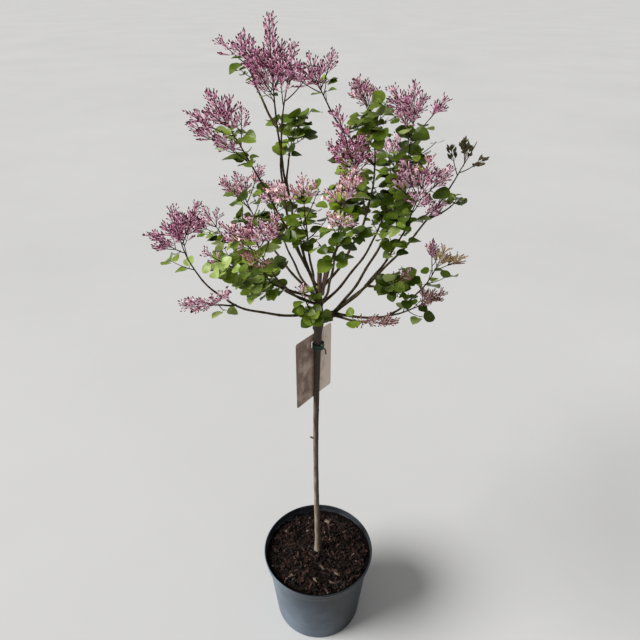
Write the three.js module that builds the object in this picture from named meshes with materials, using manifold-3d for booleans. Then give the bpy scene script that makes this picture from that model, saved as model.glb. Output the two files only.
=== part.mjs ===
// A grafted lilac standard in its nursery pot: one straight stem with a loose, vase-shaped
// crown of upright shoots, each ending in slim panicles of long buds over small round leaves.
// Millimetres, +Z up. The origin is the middle of the pot's flat underside.
import * as THREE from "three";
import { mergeVertices } from "three/addons/utils/BufferGeometryUtils.js";
import Module from "manifold-3d";

const wasm = await Module();
wasm.setup();

// ---- Driving dimensions -------------------------------------------------------------------

const CLEARANCE = 0.3; // between two pieces that touch

const POT = {
  height: 208,
  rimRadius: 130,
  bandHeight: 24, // the stiffening band under the rim
  bandFootRadius: 126.5,
  bodyTopRadius: 121,
  bodyFootRadius: 103,
  footChamfer: 4,
  wall: 1.8,
  floor: 2.5,
  drainHoles: 6,
  drainRadius: 6,
  drainRingRadius: 84,
  drainSides: 8,
  sides: 36,
};
const SOIL = { top: 194, mound: 9, moundRadius: 30 };
const TRUNK = {
  footRadius: 7,
  waistRadius: 5.5,
  neckRadius: 7.2,
  flare: 3.5,
  flareHeight: 16,
  graftHeight: 838, // above the floor, where the crown's variety was grafted on
  graftSwell: 4.2,
  graftSwellHeight: 26,
  graftSwellLift: 16,
  headHeight: 85, // the knobbly head above the graft that the boughs leave from
  headTopRadius: 5,
  stubRoot: 20, // how deep each sawn leader is rooted in the head
  stubReach: 55, // from the head to above the tallest sawn leader
  stubTaper: 0.85,
  stubSides: 7,
  bow: -5, // how far the stem wanders to the left half way up
  sides: 8,
  steps: 20,
  crowding: 1.5, // how far the rings crowd towards the knobbly head
};
// Sawn-off leaders on top of the head, and the short side knuckle that carries the right boughs.
const STUBS = [
  { side: -60, lean: 3, shift: 4, length: 46, radius: 3.8 },
  { side: -20, lean: 9, shift: 7, length: 32, radius: 4 },
  { side: 80, lean: 8, shift: 2, length: 22, radius: 3.4 },
];
// A dead bud spur low on the stem.
const SPUR = { height: -282, side: 178, lean: 65, length: 13, footRadius: 2.6, tipRadius: 1.6, sides: 5 };
const KNUCKLE = {
  side: -24,
  turnUp: 21, // how far out it runs level
  reach: 30,
  foot: 12,
  rise: 34,
  footRadius: 7,
  tipRadius: 5.5,
  steps: 3,
};

const LABEL = {
  width: 105,
  height: 148,
  thickness: 0.8,
  top: 816,
  turn: 51, // degrees from +X that the card's width runs
  overhang: -1, // how far along its width its middle lies past the stem
  setBack: 9.6, // from the stem's middle to the card
  slotWidth: 16.4,
  slotHeight: 14.6,
};
const TIE = {
  height: 793,
  radius: 10.2, // of the loop, to the middle of the cord
  cordRadius: 1.6,
  turns: 3,
  pitch: 3.4,
  start: -35,
  tail: 20,
  droop: 0.9, // of the tail's length, how far its end hangs down
  sides: 5,
  steps: 40,
};

const BOUGH = { footRadius: 2.7, forkRadius: 1.9, tipRadius: 0.8, sides: 5, steps: 4 };
const TWIG = { footRadius: 1.1, tipRadius: 0.8, sides: 3, steps: 2 };
// A shoot opens from its mass's stem and then turns up. Lengths are shares of the mass's spread.
const SHOOT = {
  first: 0.12, // where along the stem the lowest may stand
  last: 0.96,
  unevenness: 0.7, // of the step from one to the next
  shortest: 0.7,
  lengthRange: 0.4,
  lowLonger: 0.15,
  highShorter: 0.25,
  opening: 52,
  turnRange: 40,
  bend: 0.6, // how far out the turn upwards is
  lift: 0.5,
  clearFrom: 0.25, // where along it nothing else may be near
  cutBack: 0.7, // the length it is tried at when there is no room for all of it
  panicle: 0.8, // its panicle against the topmost one
};
const LEAF = {
  length: 34,
  width: 31,
  fold: 2.8,
  shoulder: 0.5, // where along the blade it is widest
  smallest: 0.75,
  sizeRange: 0.35,
  opening: 48,
  openingRange: 24,
  turnRange: 20,
  droop: 0.25,
  tiltToTwig: 0.6,
  spacing: 0.43, // between two leaves' middles, as a share of the length
};
// Leaf pairs stand square to the pair below them. Each place is (pair + first) / (pairs + spare)
// of the way along the stem, or along the bare part of a shoot.
const PAIRS = {
  turn: 90,
  stemTurn: 30,
  stemFirst: 0.6,
  stemSpare: 0.4,
  shootFirst: 0.8,
  shootSpare: 0.3,
  top: 0.97, // where a shoot without flowers bears its last pair
};
// A panicle's buds stand out in pairs of spikes, each pair square to the pair below it.
const PANICLE = {
  ringGap: 12,
  coreRadius: 2.2,
  tipRadius: 0.9,
  spikeReach: 14,
  spikeLift: 7,
  narrowing: 0.55, // how much shorter the topmost spikes are
  corners: 4,
  bareSteps: 2, // rings of corners on the bare part of the shoot
};
const SPACE_MARGIN = 2; // kept from the next mass's space and from every limb
const SAMPLE_STEP = 10; // between the points that stand for a limb when room is looked for
const TRUNK_ROOM = 16; // radius round the trunk that foliage keeps out of
const SHOOT_SEED = 1;
const LEAF_SEED = 101;

// Every limb runs from its foot, on the trunk or part of the way along another limb, to the tip
// of its topmost panicle. side is the tip's compass bearing from the stem (0 is +X, 90 is +Y),
// reach its distance out, rise its height over the graft, and bow how far the limb's middle is
// pulled square to its run, outwards, or towards bowSide where that isn't the limb's own side.
const LIMBS = [
  { name: "spire", from: "trunk", at: 62, side: -158, reach: 71, rise: 503, bow: 20 },
  { name: "top_mid", from: "trunk", at: 76, side: -123, reach: 62, rise: 462, bow: 38, bowSide: 190 },
  { name: "left_high", from: "trunk", at: 70, side: -168, reach: 160, rise: 408, bow: -5 },
  { name: "right_inner", from: "trunk", at: 68, side: 42, reach: 98, rise: 405, bow: 52, bowSide: 0 },
  { name: "right_crown", from: "knuckle", at: 0.8, side: 13, reach: 151, rise: 408, bow: 44 },
  { name: "right_wide", from: "knuckle", at: 0.9, side: -26, reach: 178, rise: 326, bow: 28 },
  { name: "seed_bough", from: "knuckle", at: 1, side: 8, reach: 258, rise: 324, bow: 24 },
  { name: "low_right", from: "knuckle", at: 0.95, side: -17, reach: 214, rise: 100, bow: 24 },
  { name: "low_front", from: "knuckle", at: 0.85, side: -52, reach: 146, rise: 78, bow: 6 },
  { name: "far_left", from: "trunk", at: 24, side: -174, reach: 236, rise: 232, bow: 80 },
  { name: "left_mid", from: "trunk", at: 42, side: 154, reach: 232, rise: 186, bow: 32 },
  { name: "leafy_left", from: "trunk", at: 54, side: -164, reach: 190, rise: 168, bow: 6 },
  { name: "mid_outer", from: "trunk", at: 56, side: 141, reach: 190, rise: 244, bow: 28 },
  { name: "mid_left", from: "trunk", at: 44, side: -127, reach: 164, rise: 256, bow: 28 },
  { name: "centre_low", from: "trunk", at: 58, side: -98, reach: 150, rise: 318, bow: 20 },
  { name: "centre_front", from: "trunk", at: 34, side: -80, reach: 182, rise: 328, bow: 34 },
  { name: "back_left", from: "trunk", at: 50, side: 116, reach: 226, rise: 196, bow: 34 },
  { name: "back_mid", from: "trunk", at: 58, side: 70, reach: 216, rise: 276, bow: 34 },
  { name: "back_right", from: "trunk", at: 38, side: 46, reach: 206, rise: 306, bow: 40, bowSide: 10 },
  { name: "top_left", from: "spire", at: 0.68, side: 160, reach: 118, rise: 478, bow: 9 },
  { name: "leaf_twig", from: "spire", at: 0.46, side: 112, reach: 88, rise: 352, bow: 12 },
  { name: "top_arc", from: "right_inner", at: 0.66, side: 112, reach: 36, rise: 448, bow: 14, bowSide: 180 },
  { name: "right_front", from: "right_inner", at: 0.44, side: -78, reach: 118, rise: 398, bow: 14 },
  { name: "low_left", from: "far_left", at: 0.42, side: -150, reach: 212, rise: 108, bow: 6 },
  { name: "right_low", from: "seed_bough", at: 0.62, side: 22, reach: 272, rise: 208, bow: 8 },
  { name: "low_far", from: "low_right", at: 0.48, side: 6, reach: 223, rise: 142, bow: 16 },
  { name: "right_leaves", from: "right_wide", at: 0.28, side: -32, reach: 166, rise: 150, bow: 10 },
  { name: "fork_sprig", from: "trunk", at: 14, side: -118, reach: 56, rise: 104, bow: 8 },
];

// What each limb carries from the point where it enters its mass. enters is how far along that
// is, shoots and spread the number and length of its side shoots, blooms how many tips flower,
// panicle the length of a panicle, and pairs the leaf pairs on every shoot. The sprig at the
// fork is all mass, from the trunk on.
const MASSES = {
  spire: { enters: 0.74, shoots: 5, spread: 20, blooms: 5, panicle: 68, pairs: 1 },
  top_mid: { enters: 0.78, shoots: 5, spread: 27, blooms: 5, panicle: 38, pairs: 1 },
  left_high: { enters: 0.64, shoots: 8, spread: 44, blooms: 8, panicle: 50, pairs: 1 },
  right_inner: { enters: 0.7, shoots: 7, spread: 52, blooms: 3, panicle: 36, pairs: 2 },
  right_crown: { enters: 0.54, shoots: 9, spread: 54, blooms: 5, panicle: 44, pairs: 1 },
  right_wide: { enters: 0.48, shoots: 9, spread: 38, blooms: 6, panicle: 44, pairs: 1 },
  seed_bough: { enters: 0.82, shoots: 4, spread: 22, blooms: 5, panicle: 30, pairs: 0, finish: "seedHead" },
  low_right: { enters: 0.58, shoots: 4, spread: 34, blooms: 3, panicle: 34, pairs: 1 },
  low_front: { enters: 0.6, shoots: 3, spread: 36, blooms: 3, panicle: 36, pairs: 1 },
  far_left: { enters: 0.66, shoots: 5, spread: 38, blooms: 5, panicle: 54, pairs: 1 },
  left_mid: { enters: 0.54, shoots: 6, spread: 52, blooms: 3, panicle: 38, pairs: 1 },
  leafy_left: { enters: 0.26, shoots: 9, spread: 48, blooms: 1, panicle: 30, pairs: 2 },
  mid_outer: { enters: 0.62, shoots: 5, spread: 50, blooms: 4, panicle: 40, pairs: 1 },
  mid_left: { enters: 0.5, shoots: 7, spread: 50, blooms: 6, panicle: 40, pairs: 1 },
  centre_low: { enters: 0.56, shoots: 6, spread: 48, blooms: 2, panicle: 36, pairs: 1 },
  centre_front: { enters: 0.58, shoots: 5, spread: 48, blooms: 3, panicle: 38, pairs: 1 },
  back_left: { enters: 0.55, shoots: 5, spread: 60, blooms: 3, panicle: 40, pairs: 2 },
  back_mid: { enters: 0.48, shoots: 7, spread: 60, blooms: 3, panicle: 42, pairs: 1 },
  back_right: { enters: 0.48, shoots: 8, spread: 60, blooms: 2, panicle: 36, pairs: 1 },
  top_left: { enters: 0.5, shoots: 3, spread: 31, blooms: 2, panicle: 38, pairs: 1 },
  leaf_twig: { enters: 0.45, shoots: 4, spread: 56, blooms: 0, panicle: 16, pairs: 1 },
  top_arc: { enters: 0.62, shoots: 4, spread: 26, blooms: 3, panicle: 40, pairs: 0 },
  right_front: { enters: 0.5, shoots: 5, spread: 24, blooms: 1, panicle: 84, pairs: 1 },
  low_left: { enters: 0.42, shoots: 4, spread: 36, blooms: 4, panicle: 38, pairs: 1 },
  right_low: { enters: 0.66, shoots: 2, spread: 16, blooms: 0, panicle: 14, pairs: 1 },
  low_far: { enters: 0.5, shoots: 4, spread: 40, blooms: 3, panicle: 34, pairs: 1 },
  right_leaves: { enters: 0.4, shoots: 5, spread: 42, blooms: 1, panicle: 28, pairs: 2 },
  fork_sprig: { enters: 0, shoots: 4, spread: 34, blooms: 1, panicle: 24, pairs: 2 },
};

// ---- Geometry helpers ---------------------------------------------------------------------

const UP = new THREE.Vector3(0, 0, 1);
const GOLDEN_TURN = 137.5; // degrees between one shoot and the next

function radians(degrees) {
  return THREE.MathUtils.degToRad(degrees);
}

function bearing(side) {
  return new THREE.Vector3(Math.cos(radians(side)), Math.sin(radians(side)), 0);
}

// The part of a direction that lies square to an axis, at unit length.
function squareTo(axis, direction) {
  return direction.clone().addScaledVector(axis, -direction.dot(axis)).normalize();
}

// A direction that opens from an axis by an angle, towards a compass bearing.
function openedFrom(axis, side, angle) {
  return axis.clone().multiplyScalar(Math.cos(radians(angle)))
    .addScaledVector(squareTo(axis, bearing(side)), Math.sin(radians(angle)));
}

// A repeatable stream of numbers from 0 to 1.
function seededRandom(seed) {
  let state = Math.imul(seed, 2654435761) >>> 0;
  return () => {
    state = (Math.imul(state, 1664525) + 1013904223) >>> 0;
    return state / 4294967296;
  };
}

// The stretch of a curve between two of its fractions, as a curve of its own.
class Stretch extends THREE.Curve {
  constructor(path, start, end) {
    super();
    this.path = path;
    this.start = start;
    this.end = end;
  }

  getPoint(fraction) {
    return this.path.getPointAt(this.start + (this.end - this.start) * fraction);
  }
}

function evenly(steps, start = 0, end = 1) {
  return Array.from({ length: steps + 1 }, (_, i) => start + ((end - start) * i) / steps);
}

// A closed bar along a curve, with a ring of corners at each station. shapeAt gives a corner's
// distance from the curve and its lift along it, and reference is a direction the bar never takes.
function bar(path, stations, sides, shapeAt, reference) {
  const steps = stations.length - 1;
  const geometry = new THREE.CylinderGeometry(1, 1, 1, sides, steps);
  const positions = geometry.attributes.position;
  for (let i = 0; i < positions.count; i += 1) {
    const step = Math.round((positions.getY(i) + 0.5) * steps);
    const tangent = path.getTangentAt(stations[step]);
    const normal = squareTo(tangent, reference);
    const binormal = new THREE.Vector3().crossVectors(normal, tangent);
    const turn = Math.atan2(positions.getX(i), positions.getZ(i)) / (2 * Math.PI);
    const corner = (Math.round(turn * sides) + sides) % sides;
    const [reach, lift] = shapeAt(stations[step], corner, step);
    const point = path.getPointAt(stations[step])
      .addScaledVector(normal, positions.getX(i) * reach)
      .addScaledVector(binormal, positions.getZ(i) * reach)
      .addScaledVector(tangent, lift);
    positions.setXYZ(i, point.x, point.y, point.z);
  }
  return geometry;
}

function taper(footRadius, tipRadius) {
  return (fraction) => [footRadius + (tipRadius - footRadius) * fraction, 0];
}

function solidOf(geometry) {
  geometry.deleteAttribute("normal");
  geometry.deleteAttribute("uv");
  const merged = mergeVertices(geometry, 1e-4);
  return new wasm.Manifold(new wasm.Mesh({
    numProp: 3,
    vertProperties: new Float32Array(merged.attributes.position.array),
    triVerts: new Uint32Array(merged.index.array),
  }));
}

// The main body of a solid: loose scraps are dropped and sealed hollows filled.
function mainBody(solid) {
  const bodies = solid.decompose();
  return bodies.reduce((largest, body) => (body.volume() > largest.volume() ? body : largest));
}

function meshOf(name, solid, finish) {
  const { vertProperties, triVerts } = solid.getMesh();
  const geometry = new THREE.BufferGeometry();
  geometry.setAttribute("position", new THREE.BufferAttribute(vertProperties, 3));
  geometry.setIndex(new THREE.BufferAttribute(triVerts, 1));
  const material = new THREE.MeshStandardMaterial({ flatShading: true, ...finish });
  const mesh = new THREE.Mesh(geometry, material);
  mesh.name = name;
  return mesh;
}

const FINISHES = {
  pot: { color: 0x66707a, roughness: 0.55, metalness: 0 },
  soil: { color: 0x33231b, roughness: 0.95, metalness: 0 },
  bark: { color: 0x85725f, roughness: 0.85, metalness: 0 },
  card: { color: 0xa8948a, roughness: 0.7, metalness: 0 },
  tie: { color: 0x12332a, roughness: 0.5, metalness: 0 },
  foliage: { color: 0x5c8f35, roughness: 0.6, metalness: 0 },
  blossom: { color: 0xa877a0, roughness: 0.65, metalness: 0 },
  seedHead: { color: 0x564f33, roughness: 0.85, metalness: 0 },
};

// ---- Pot and soil, standing on the floor ----------------------------------------------------

function lathe(profile) {
  const points = profile.map(([radius, height]) => new THREE.Vector2(radius, height));
  return new THREE.LatheGeometry(points, POT.sides).rotateX(Math.PI / 2);
}

// Outer radius of the pot's tapering body at a height over the floor.
function bodyRadius(height) {
  const shoulder = POT.height - POT.bandHeight;
  return POT.bodyFootRadius + (POT.bodyTopRadius - POT.bodyFootRadius) * (height / shoulder);
}

function makePot() {
  const shoulder = POT.height - POT.bandHeight;
  const shell = solidOf(lathe([
    [0, 0],
    [POT.bodyFootRadius - POT.footChamfer, 0],
    [bodyRadius(POT.footChamfer), POT.footChamfer],
    [POT.bodyTopRadius, shoulder],
    [POT.bandFootRadius, shoulder],
    [POT.rimRadius, POT.height],
    [POT.rimRadius - POT.wall, POT.height],
    [POT.bandFootRadius - POT.wall, shoulder + POT.wall],
    [POT.bodyTopRadius - POT.wall, shoulder + POT.wall],
    [bodyRadius(POT.footChamfer) - POT.wall, POT.floor],
    [0, POT.floor],
  ]));
  const holes = [];
  for (let i = 0; i < POT.drainHoles; i += 1) {
    const place = bearing((360 * (i + 0.5)) / POT.drainHoles).multiplyScalar(POT.drainRingRadius);
    const radius = POT.drainRadius;
    const drill = new THREE.CylinderGeometry(radius, radius, 4 * POT.floor, POT.drainSides);
    holes.push(solidOf(drill.rotateX(Math.PI / 2).translate(place.x, place.y, 0)));
  }
  return shell.subtract(wasm.Manifold.union(holes));
}

function makeSoil() {
  const shoulder = POT.height - POT.bandHeight + POT.wall;
  const inset = POT.wall + CLEARANCE;
  const bandTaper = (POT.rimRadius - POT.bandFootRadius) / (POT.height - shoulder);
  const edge = POT.bandFootRadius - inset + bandTaper * (SOIL.top - shoulder - CLEARANCE);
  return solidOf(lathe([
    [0, POT.floor + CLEARANCE],
    [bodyRadius(POT.footChamfer) - inset, POT.floor + CLEARANCE],
    [POT.bodyTopRadius - inset, shoulder + CLEARANCE],
    [POT.bandFootRadius - inset, shoulder + CLEARANCE],
    [edge, SOIL.top],
    [SOIL.moundRadius, SOIL.top + SOIL.mound],
    [0, SOIL.top + SOIL.mound],
  ]));
}

// ---- Trunk, label and tie, measured from the graft -------------------------------------------

// Everything from here on is placed with the graft at the origin.
const TRUNK_FOOT = SOIL.top + SOIL.mound + CLEARANCE - TRUNK.graftHeight;

class TrunkLine extends THREE.Curve {
  getPoint(fraction) {
    const share = 1 - (1 - fraction) ** TRUNK.crowding;
    return trunkCentre(TRUNK_FOOT + (TRUNK.headHeight - TRUNK_FOOT) * share);
  }

  getPointAt(fraction) {
    return this.getPoint(fraction);
  }

  getTangentAt(fraction) {
    return this.getTangent(fraction);
  }
}

function trunkCentre(height) {
  const fraction = Math.min(1, (height - TRUNK_FOOT) / -TRUNK_FOOT);
  return new THREE.Vector3(TRUNK.bow * Math.sin(Math.PI * fraction), 0, height);
}

function trunkRadius(height) {
  const shaft = THREE.MathUtils.clamp((height - TRUNK_FOOT) / -TRUNK_FOOT, 0, 1);
  const waist = TRUNK.waistRadius;
  const below = waist + (TRUNK.footRadius - waist) * (1 - Math.min(1, shaft * 2)) ** 2;
  const above = (TRUNK.neckRadius - waist) * Math.max(0, shaft * 2 - 1) ** 2;
  const flare = TRUNK.flare * Math.exp(-(height - TRUNK_FOOT) / TRUNK.flareHeight);
  const swellRun = (height - TRUNK.graftSwellLift) / TRUNK.graftSwellHeight;
  const swell = TRUNK.graftSwell * Math.exp(-swellRun * swellRun);
  const head = Math.max(0, height / TRUNK.headHeight);
  return below + above + flare + swell + (TRUNK.headTopRadius - TRUNK.neckRadius) * head;
}

const TRUNK_PATH = new TrunkLine();
const KNUCKLE_PATH = new THREE.QuadraticBezierCurve3(
  new THREE.Vector3(0, 0, KNUCKLE.foot),
  bearing(KNUCKLE.side).multiplyScalar(KNUCKLE.turnUp).setZ(KNUCKLE.foot),
  bearing(KNUCKLE.side).multiplyScalar(KNUCKLE.reach).setZ(KNUCKLE.rise),
);

// The trunk with its sawn stubs and side knuckle, made thicker all over by a margin.
function makeTrunk(margin) {
  const shaft = (fraction) => [margin + trunkRadius(TRUNK_PATH.getPointAt(fraction).z), 0];
  const across = bearing(90);
  const parts = [solidOf(bar(TRUNK_PATH, evenly(TRUNK.steps), TRUNK.sides, shaft, across))];
  for (const stub of STUBS) {
    const lean = openedFrom(UP, stub.side, stub.lean);
    const foot = bearing(stub.side).multiplyScalar(stub.shift);
    foot.z = TRUNK.headHeight - TRUNK.stubRoot;
    const top = foot.clone().addScaledVector(lean, stub.length + TRUNK.stubRoot + margin);
    const shape = taper(stub.radius + margin, stub.radius * TRUNK.stubTaper + margin);
    const line = new THREE.LineCurve3(foot, top);
    parts.push(solidOf(bar(line, evenly(1), TRUNK.stubSides, shape, across)));
  }
  const spurFoot = trunkCentre(SPUR.height);
  const spurLean = openedFrom(UP, SPUR.side, SPUR.lean);
  const spurLine = new THREE.LineCurve3(spurFoot, spurFoot.clone().addScaledVector(spurLean, SPUR.length));
  const spur = taper(SPUR.footRadius + margin, SPUR.tipRadius + margin);
  parts.push(solidOf(bar(spurLine, evenly(1), SPUR.sides, spur, across)));
  const knuckle = taper(KNUCKLE.footRadius + margin, KNUCKLE.tipRadius + margin);
  parts.push(solidOf(bar(KNUCKLE_PATH, evenly(KNUCKLE.steps), TRUNK.stubSides, knuckle, across)));
  return mainBody(wasm.Manifold.union(parts));
}

// The label is a plain card behind the stem, hung by a slot on the tie.
function makeLabel() {
  const card = new THREE.BoxGeometry(LABEL.width, LABEL.thickness, LABEL.height);
  const slot = new THREE.BoxGeometry(LABEL.slotWidth, 4 * LABEL.thickness, LABEL.slotHeight);
  const middle = LABEL.top - TRUNK.graftHeight - LABEL.height / 2;
  card.translate(LABEL.overhang, LABEL.setBack, middle);
  slot.translate(0, LABEL.setBack, TIE.height - TRUNK.graftHeight);
  return solidOf(card).subtract(solidOf(slot));
}

// The tie is a plastic cord wound round the stem, with one end left hanging.
class TieLine extends THREE.Curve {
  getPoint(fraction) {
    const woundLength = radians(360) * TIE.turns * TIE.radius;
    const run = fraction * (woundLength + TIE.tail);
    const wound = Math.min(run, woundLength);
    const past = (run - wound) / TIE.tail;
    const angle = radians(TIE.start) + wound / TIE.radius;
    const outwards = new THREE.Vector3(Math.cos(angle), Math.sin(angle), 0);
    const onwards = new THREE.Vector3(-Math.sin(angle), Math.cos(angle), 0);
    const lift = TIE.pitch * TIE.turns * (0.5 - wound / woundLength);
    return outwards.multiplyScalar(TIE.radius)
      .addScaledVector(onwards, TIE.tail * past * (1 - TIE.droop * past * 0.5))
      .setZ(TIE.height - TRUNK.graftHeight + lift - TIE.tail * TIE.droop * past * past);
  }
}

function makeTie() {
  const cord = taper(TIE.cordRadius, TIE.cordRadius);
  return solidOf(bar(new TieLine(), evenly(TIE.steps), TIE.sides, cord, UP));
}

// ---- Limbs ----------------------------------------------------------------------------------

const limbs = new Map();

function limbFoot(row) {
  if (row.from === "trunk") {
    return new THREE.Vector3(0, 0, row.at);
  }
  if (row.from === "knuckle") {
    return KNUCKLE_PATH.getPointAt(row.at);
  }
  return limbs.get(row.from).path.getPointAt(row.at);
}

// A limb runs in one smooth sweep, with its middle bowed square to its run.
function layOutLimb(row, index) {
  const foot = limbFoot(row);
  const tip = bearing(row.side).multiplyScalar(row.reach).setZ(row.rise);
  const run = tip.clone().sub(foot).normalize();
  const outward = squareTo(run, bearing(row.bowSide ?? row.side));
  const middle = foot.clone().add(tip).multiplyScalar(0.5).addScaledVector(outward, 2 * row.bow);
  const path = new THREE.QuadraticBezierCurve3(foot, middle, tip);
  const mass = MASSES[row.name];
  const length = path.getLength();
  const footRadius = limbs.has(row.from) ? BOUGH.forkRadius : BOUGH.footRadius;
  const across = new THREE.Vector3().crossVectors(run, outward);
  const radiusAt = (fraction) => footRadius + (BOUGH.tipRadius - footRadius) * fraction;
  limbs.set(row.name, { ...row, ...mass, index, path, length, across, radiusAt });
}

function makeBough(limb, margin) {
  const shape = (fraction) => [margin + limb.radiusAt(fraction), 0];
  return solidOf(bar(limb.path, evenly(BOUGH.steps, 0, limb.enters), BOUGH.sides, shape, limb.across));
}

// ---- Foliage masses -------------------------------------------------------------------------

function pointsAlong(path, steps, start, end) {
  return evenly(steps, start, end).map((fraction) => path.getPointAt(fraction));
}

function nearest(point, others) {
  return others.reduce((least, other) => Math.min(least, point.distanceTo(other)), Infinity);
}

// True where a point is nearer to its own mass's stem than to any other, and clear of each limb.
function hasRoom(point, limb) {
  const own = nearest(point, limb.stemPoints);
  for (const other of limbs.values()) {
    if (nearest(point, other.boughPoints) < BOUGH.footRadius + SPACE_MARGIN) {
      return false;
    }
    if (other !== limb && nearest(point, other.stemPoints) < own + 2 * SPACE_MARGIN) {
      return false;
    }
  }
  return point.distanceTo(new THREE.Vector3(0, 0, point.z)) > TRUNK_ROOM
    || point.z > TRUNK.headHeight + TRUNK.stubReach;
}

function allHaveRoom(points, limb) {
  return points.every((point) => hasRoom(point, limb));
}

// A kite-shaped blade folded along its midrib: root and tip lie low, the two shoulders high.
function makeLeaf(size) {
  const leaf = new THREE.TetrahedronGeometry(Math.sqrt(3)).rotateZ(-Math.PI / 4);
  const positions = leaf.attributes.position;
  for (let i = 0; i < positions.count; i += 1) {
    const across = Math.sign(Math.round(positions.getX(i))) * LEAF.width * 0.5;
    const shoulder = positions.getZ(i) > 0;
    const along = shoulder ? LEAF.shoulder : Math.max(0, Math.sign(positions.getY(i)));
    positions.setXYZ(i, across * size, along * LEAF.length * size, shoulder ? LEAF.fold * size : 0);
  }
  return leaf;
}

// Stands a piece made along +Y on a root, pointing in a direction with its face turned to facing.
function stand(geometry, root, direction, facing) {
  const face = squareTo(direction, facing);
  const across = new THREE.Vector3().crossVectors(direction, face);
  const pose = new THREE.Matrix4().makeBasis(across, direction, face).setPosition(root);
  return geometry.applyMatrix4(pose);
}

// Two leaves facing each other across a twig. A leaf without room for its blade is skipped.
function growPair(twig, fraction, turn, { limb, random, pieces, taken }) {
  const root = twig.getPointAt(fraction);
  const axis = twig.getTangentAt(fraction);
  for (const half of [0, 180]) {
    const size = LEAF.smallest + LEAF.sizeRange * random();
    const open = LEAF.opening + LEAF.openingRange * random();
    const direction = openedFrom(axis, turn + half + LEAF.turnRange * random(), open);
    direction.addScaledVector(UP, -LEAF.droop * random()).normalize();
    const facing = UP.clone().addScaledVector(axis, LEAF.tiltToTwig)
      .addScaledVector(bearing(turn), random() - 0.5);
    const across = new THREE.Vector3().crossVectors(direction, squareTo(direction, facing));
    const middle = root.clone().addScaledVector(direction, LEAF.length * size * LEAF.shoulder);
    const blade = [middle, root.clone().addScaledVector(direction, LEAF.length * size)];
    for (const share of [-1, -0.5, 0.5, 1]) {
      blade.push(middle.clone().addScaledVector(across, LEAF.width * size * 0.5 * share));
    }
    if (nearest(middle, taken) > LEAF.length * LEAF.spacing && allHaveRoom(blade, limb)) {
      taken.push(middle);
      pieces.push(solidOf(stand(makeLeaf(size), root, direction, facing)));
    }
  }
}

// A shoot that ends in a panicle, as one four-cornered bar: bare up to the panicle's foot, and
// then with two opposite corners of each ring pulled out into spikes of buds.
function makeFloweringShoot(path, start, panicle, radiusAt, reference) {
  const foot = 1 - panicle / path.getLength();
  const rings = Math.max(2, Math.round(panicle / PANICLE.ringGap));
  const bare = evenly(PANICLE.bareSteps, start, foot);
  const shapeAt = (fraction, corner, step) => {
    const ring = step - PANICLE.bareSteps;
    if (ring <= 0) {
      return [radiusAt(fraction), 0];
    }
    if (ring === rings) {
      return [PANICLE.tipRadius, 0];
    }
    const spikeReach = PANICLE.spikeReach * (1 - PANICLE.narrowing * (ring / rings));
    const spiked = (corner + ring) % 2 === 0;
    return spiked ? [spikeReach, PANICLE.spikeLift] : [PANICLE.coreRadius, 0];
  };
  const stations = [...bare, ...evenly(rings, foot, 1).slice(1)];
  return solidOf(bar(path, stations, PANICLE.corners, shapeAt, reference));
}

// The shoots of a mass, laid out from its stem by one repeatable stream of draws.
function layOutShoots(limb) {
  const random = seededRandom(limb.index + SHOOT_SEED);
  const stem = new Stretch(limb.path, limb.enters, 1 - limb.panicle / limb.length);
  const turnStart = 360 * random();
  const shoots = [];
  for (let i = 0; i < limb.shoots; i += 1) {
    const step = (i + SHOOT.unevenness * random()) / limb.shoots;
    const fraction = SHOOT.first + (SHOOT.last - SHOOT.first) * step;
    const side = turnStart + GOLDEN_TURN * i + SHOOT.turnRange * random();
    const heightShare = 1 + SHOOT.lowLonger - (SHOOT.lowLonger + SHOOT.highShorter) * fraction;
    const reach = limb.spread * heightShare * (SHOOT.shortest + SHOOT.lengthRange * random());
    const flowers = limb.shoots - i < limb.blooms;
    const panicle = flowers ? limb.panicle * SHOOT.panicle : 0;
    const foot = stem.getPointAt(fraction);
    const start = openedFrom(stem.getTangentAt(fraction), side, SHOOT.opening);
    const end = start.clone().addScaledVector(UP, SHOOT.lift).normalize();
    for (const share of [1, SHOOT.cutBack]) {
      const bend = foot.clone().addScaledVector(start, reach * share * SHOOT.bend);
      const tip = bend.clone().addScaledVector(end, reach * share * (1 - SHOOT.bend) + panicle);
      const path = new THREE.QuadraticBezierCurve3(foot, bend, tip);
      if (allHaveRoom(pointsAlong(path, 5, SHOOT.clearFrom, 1), limb)) {
        shoots.push({ path, side, panicle, flowers });
        break;
      }
    }
  }
  return { stem, shoots };
}

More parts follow.
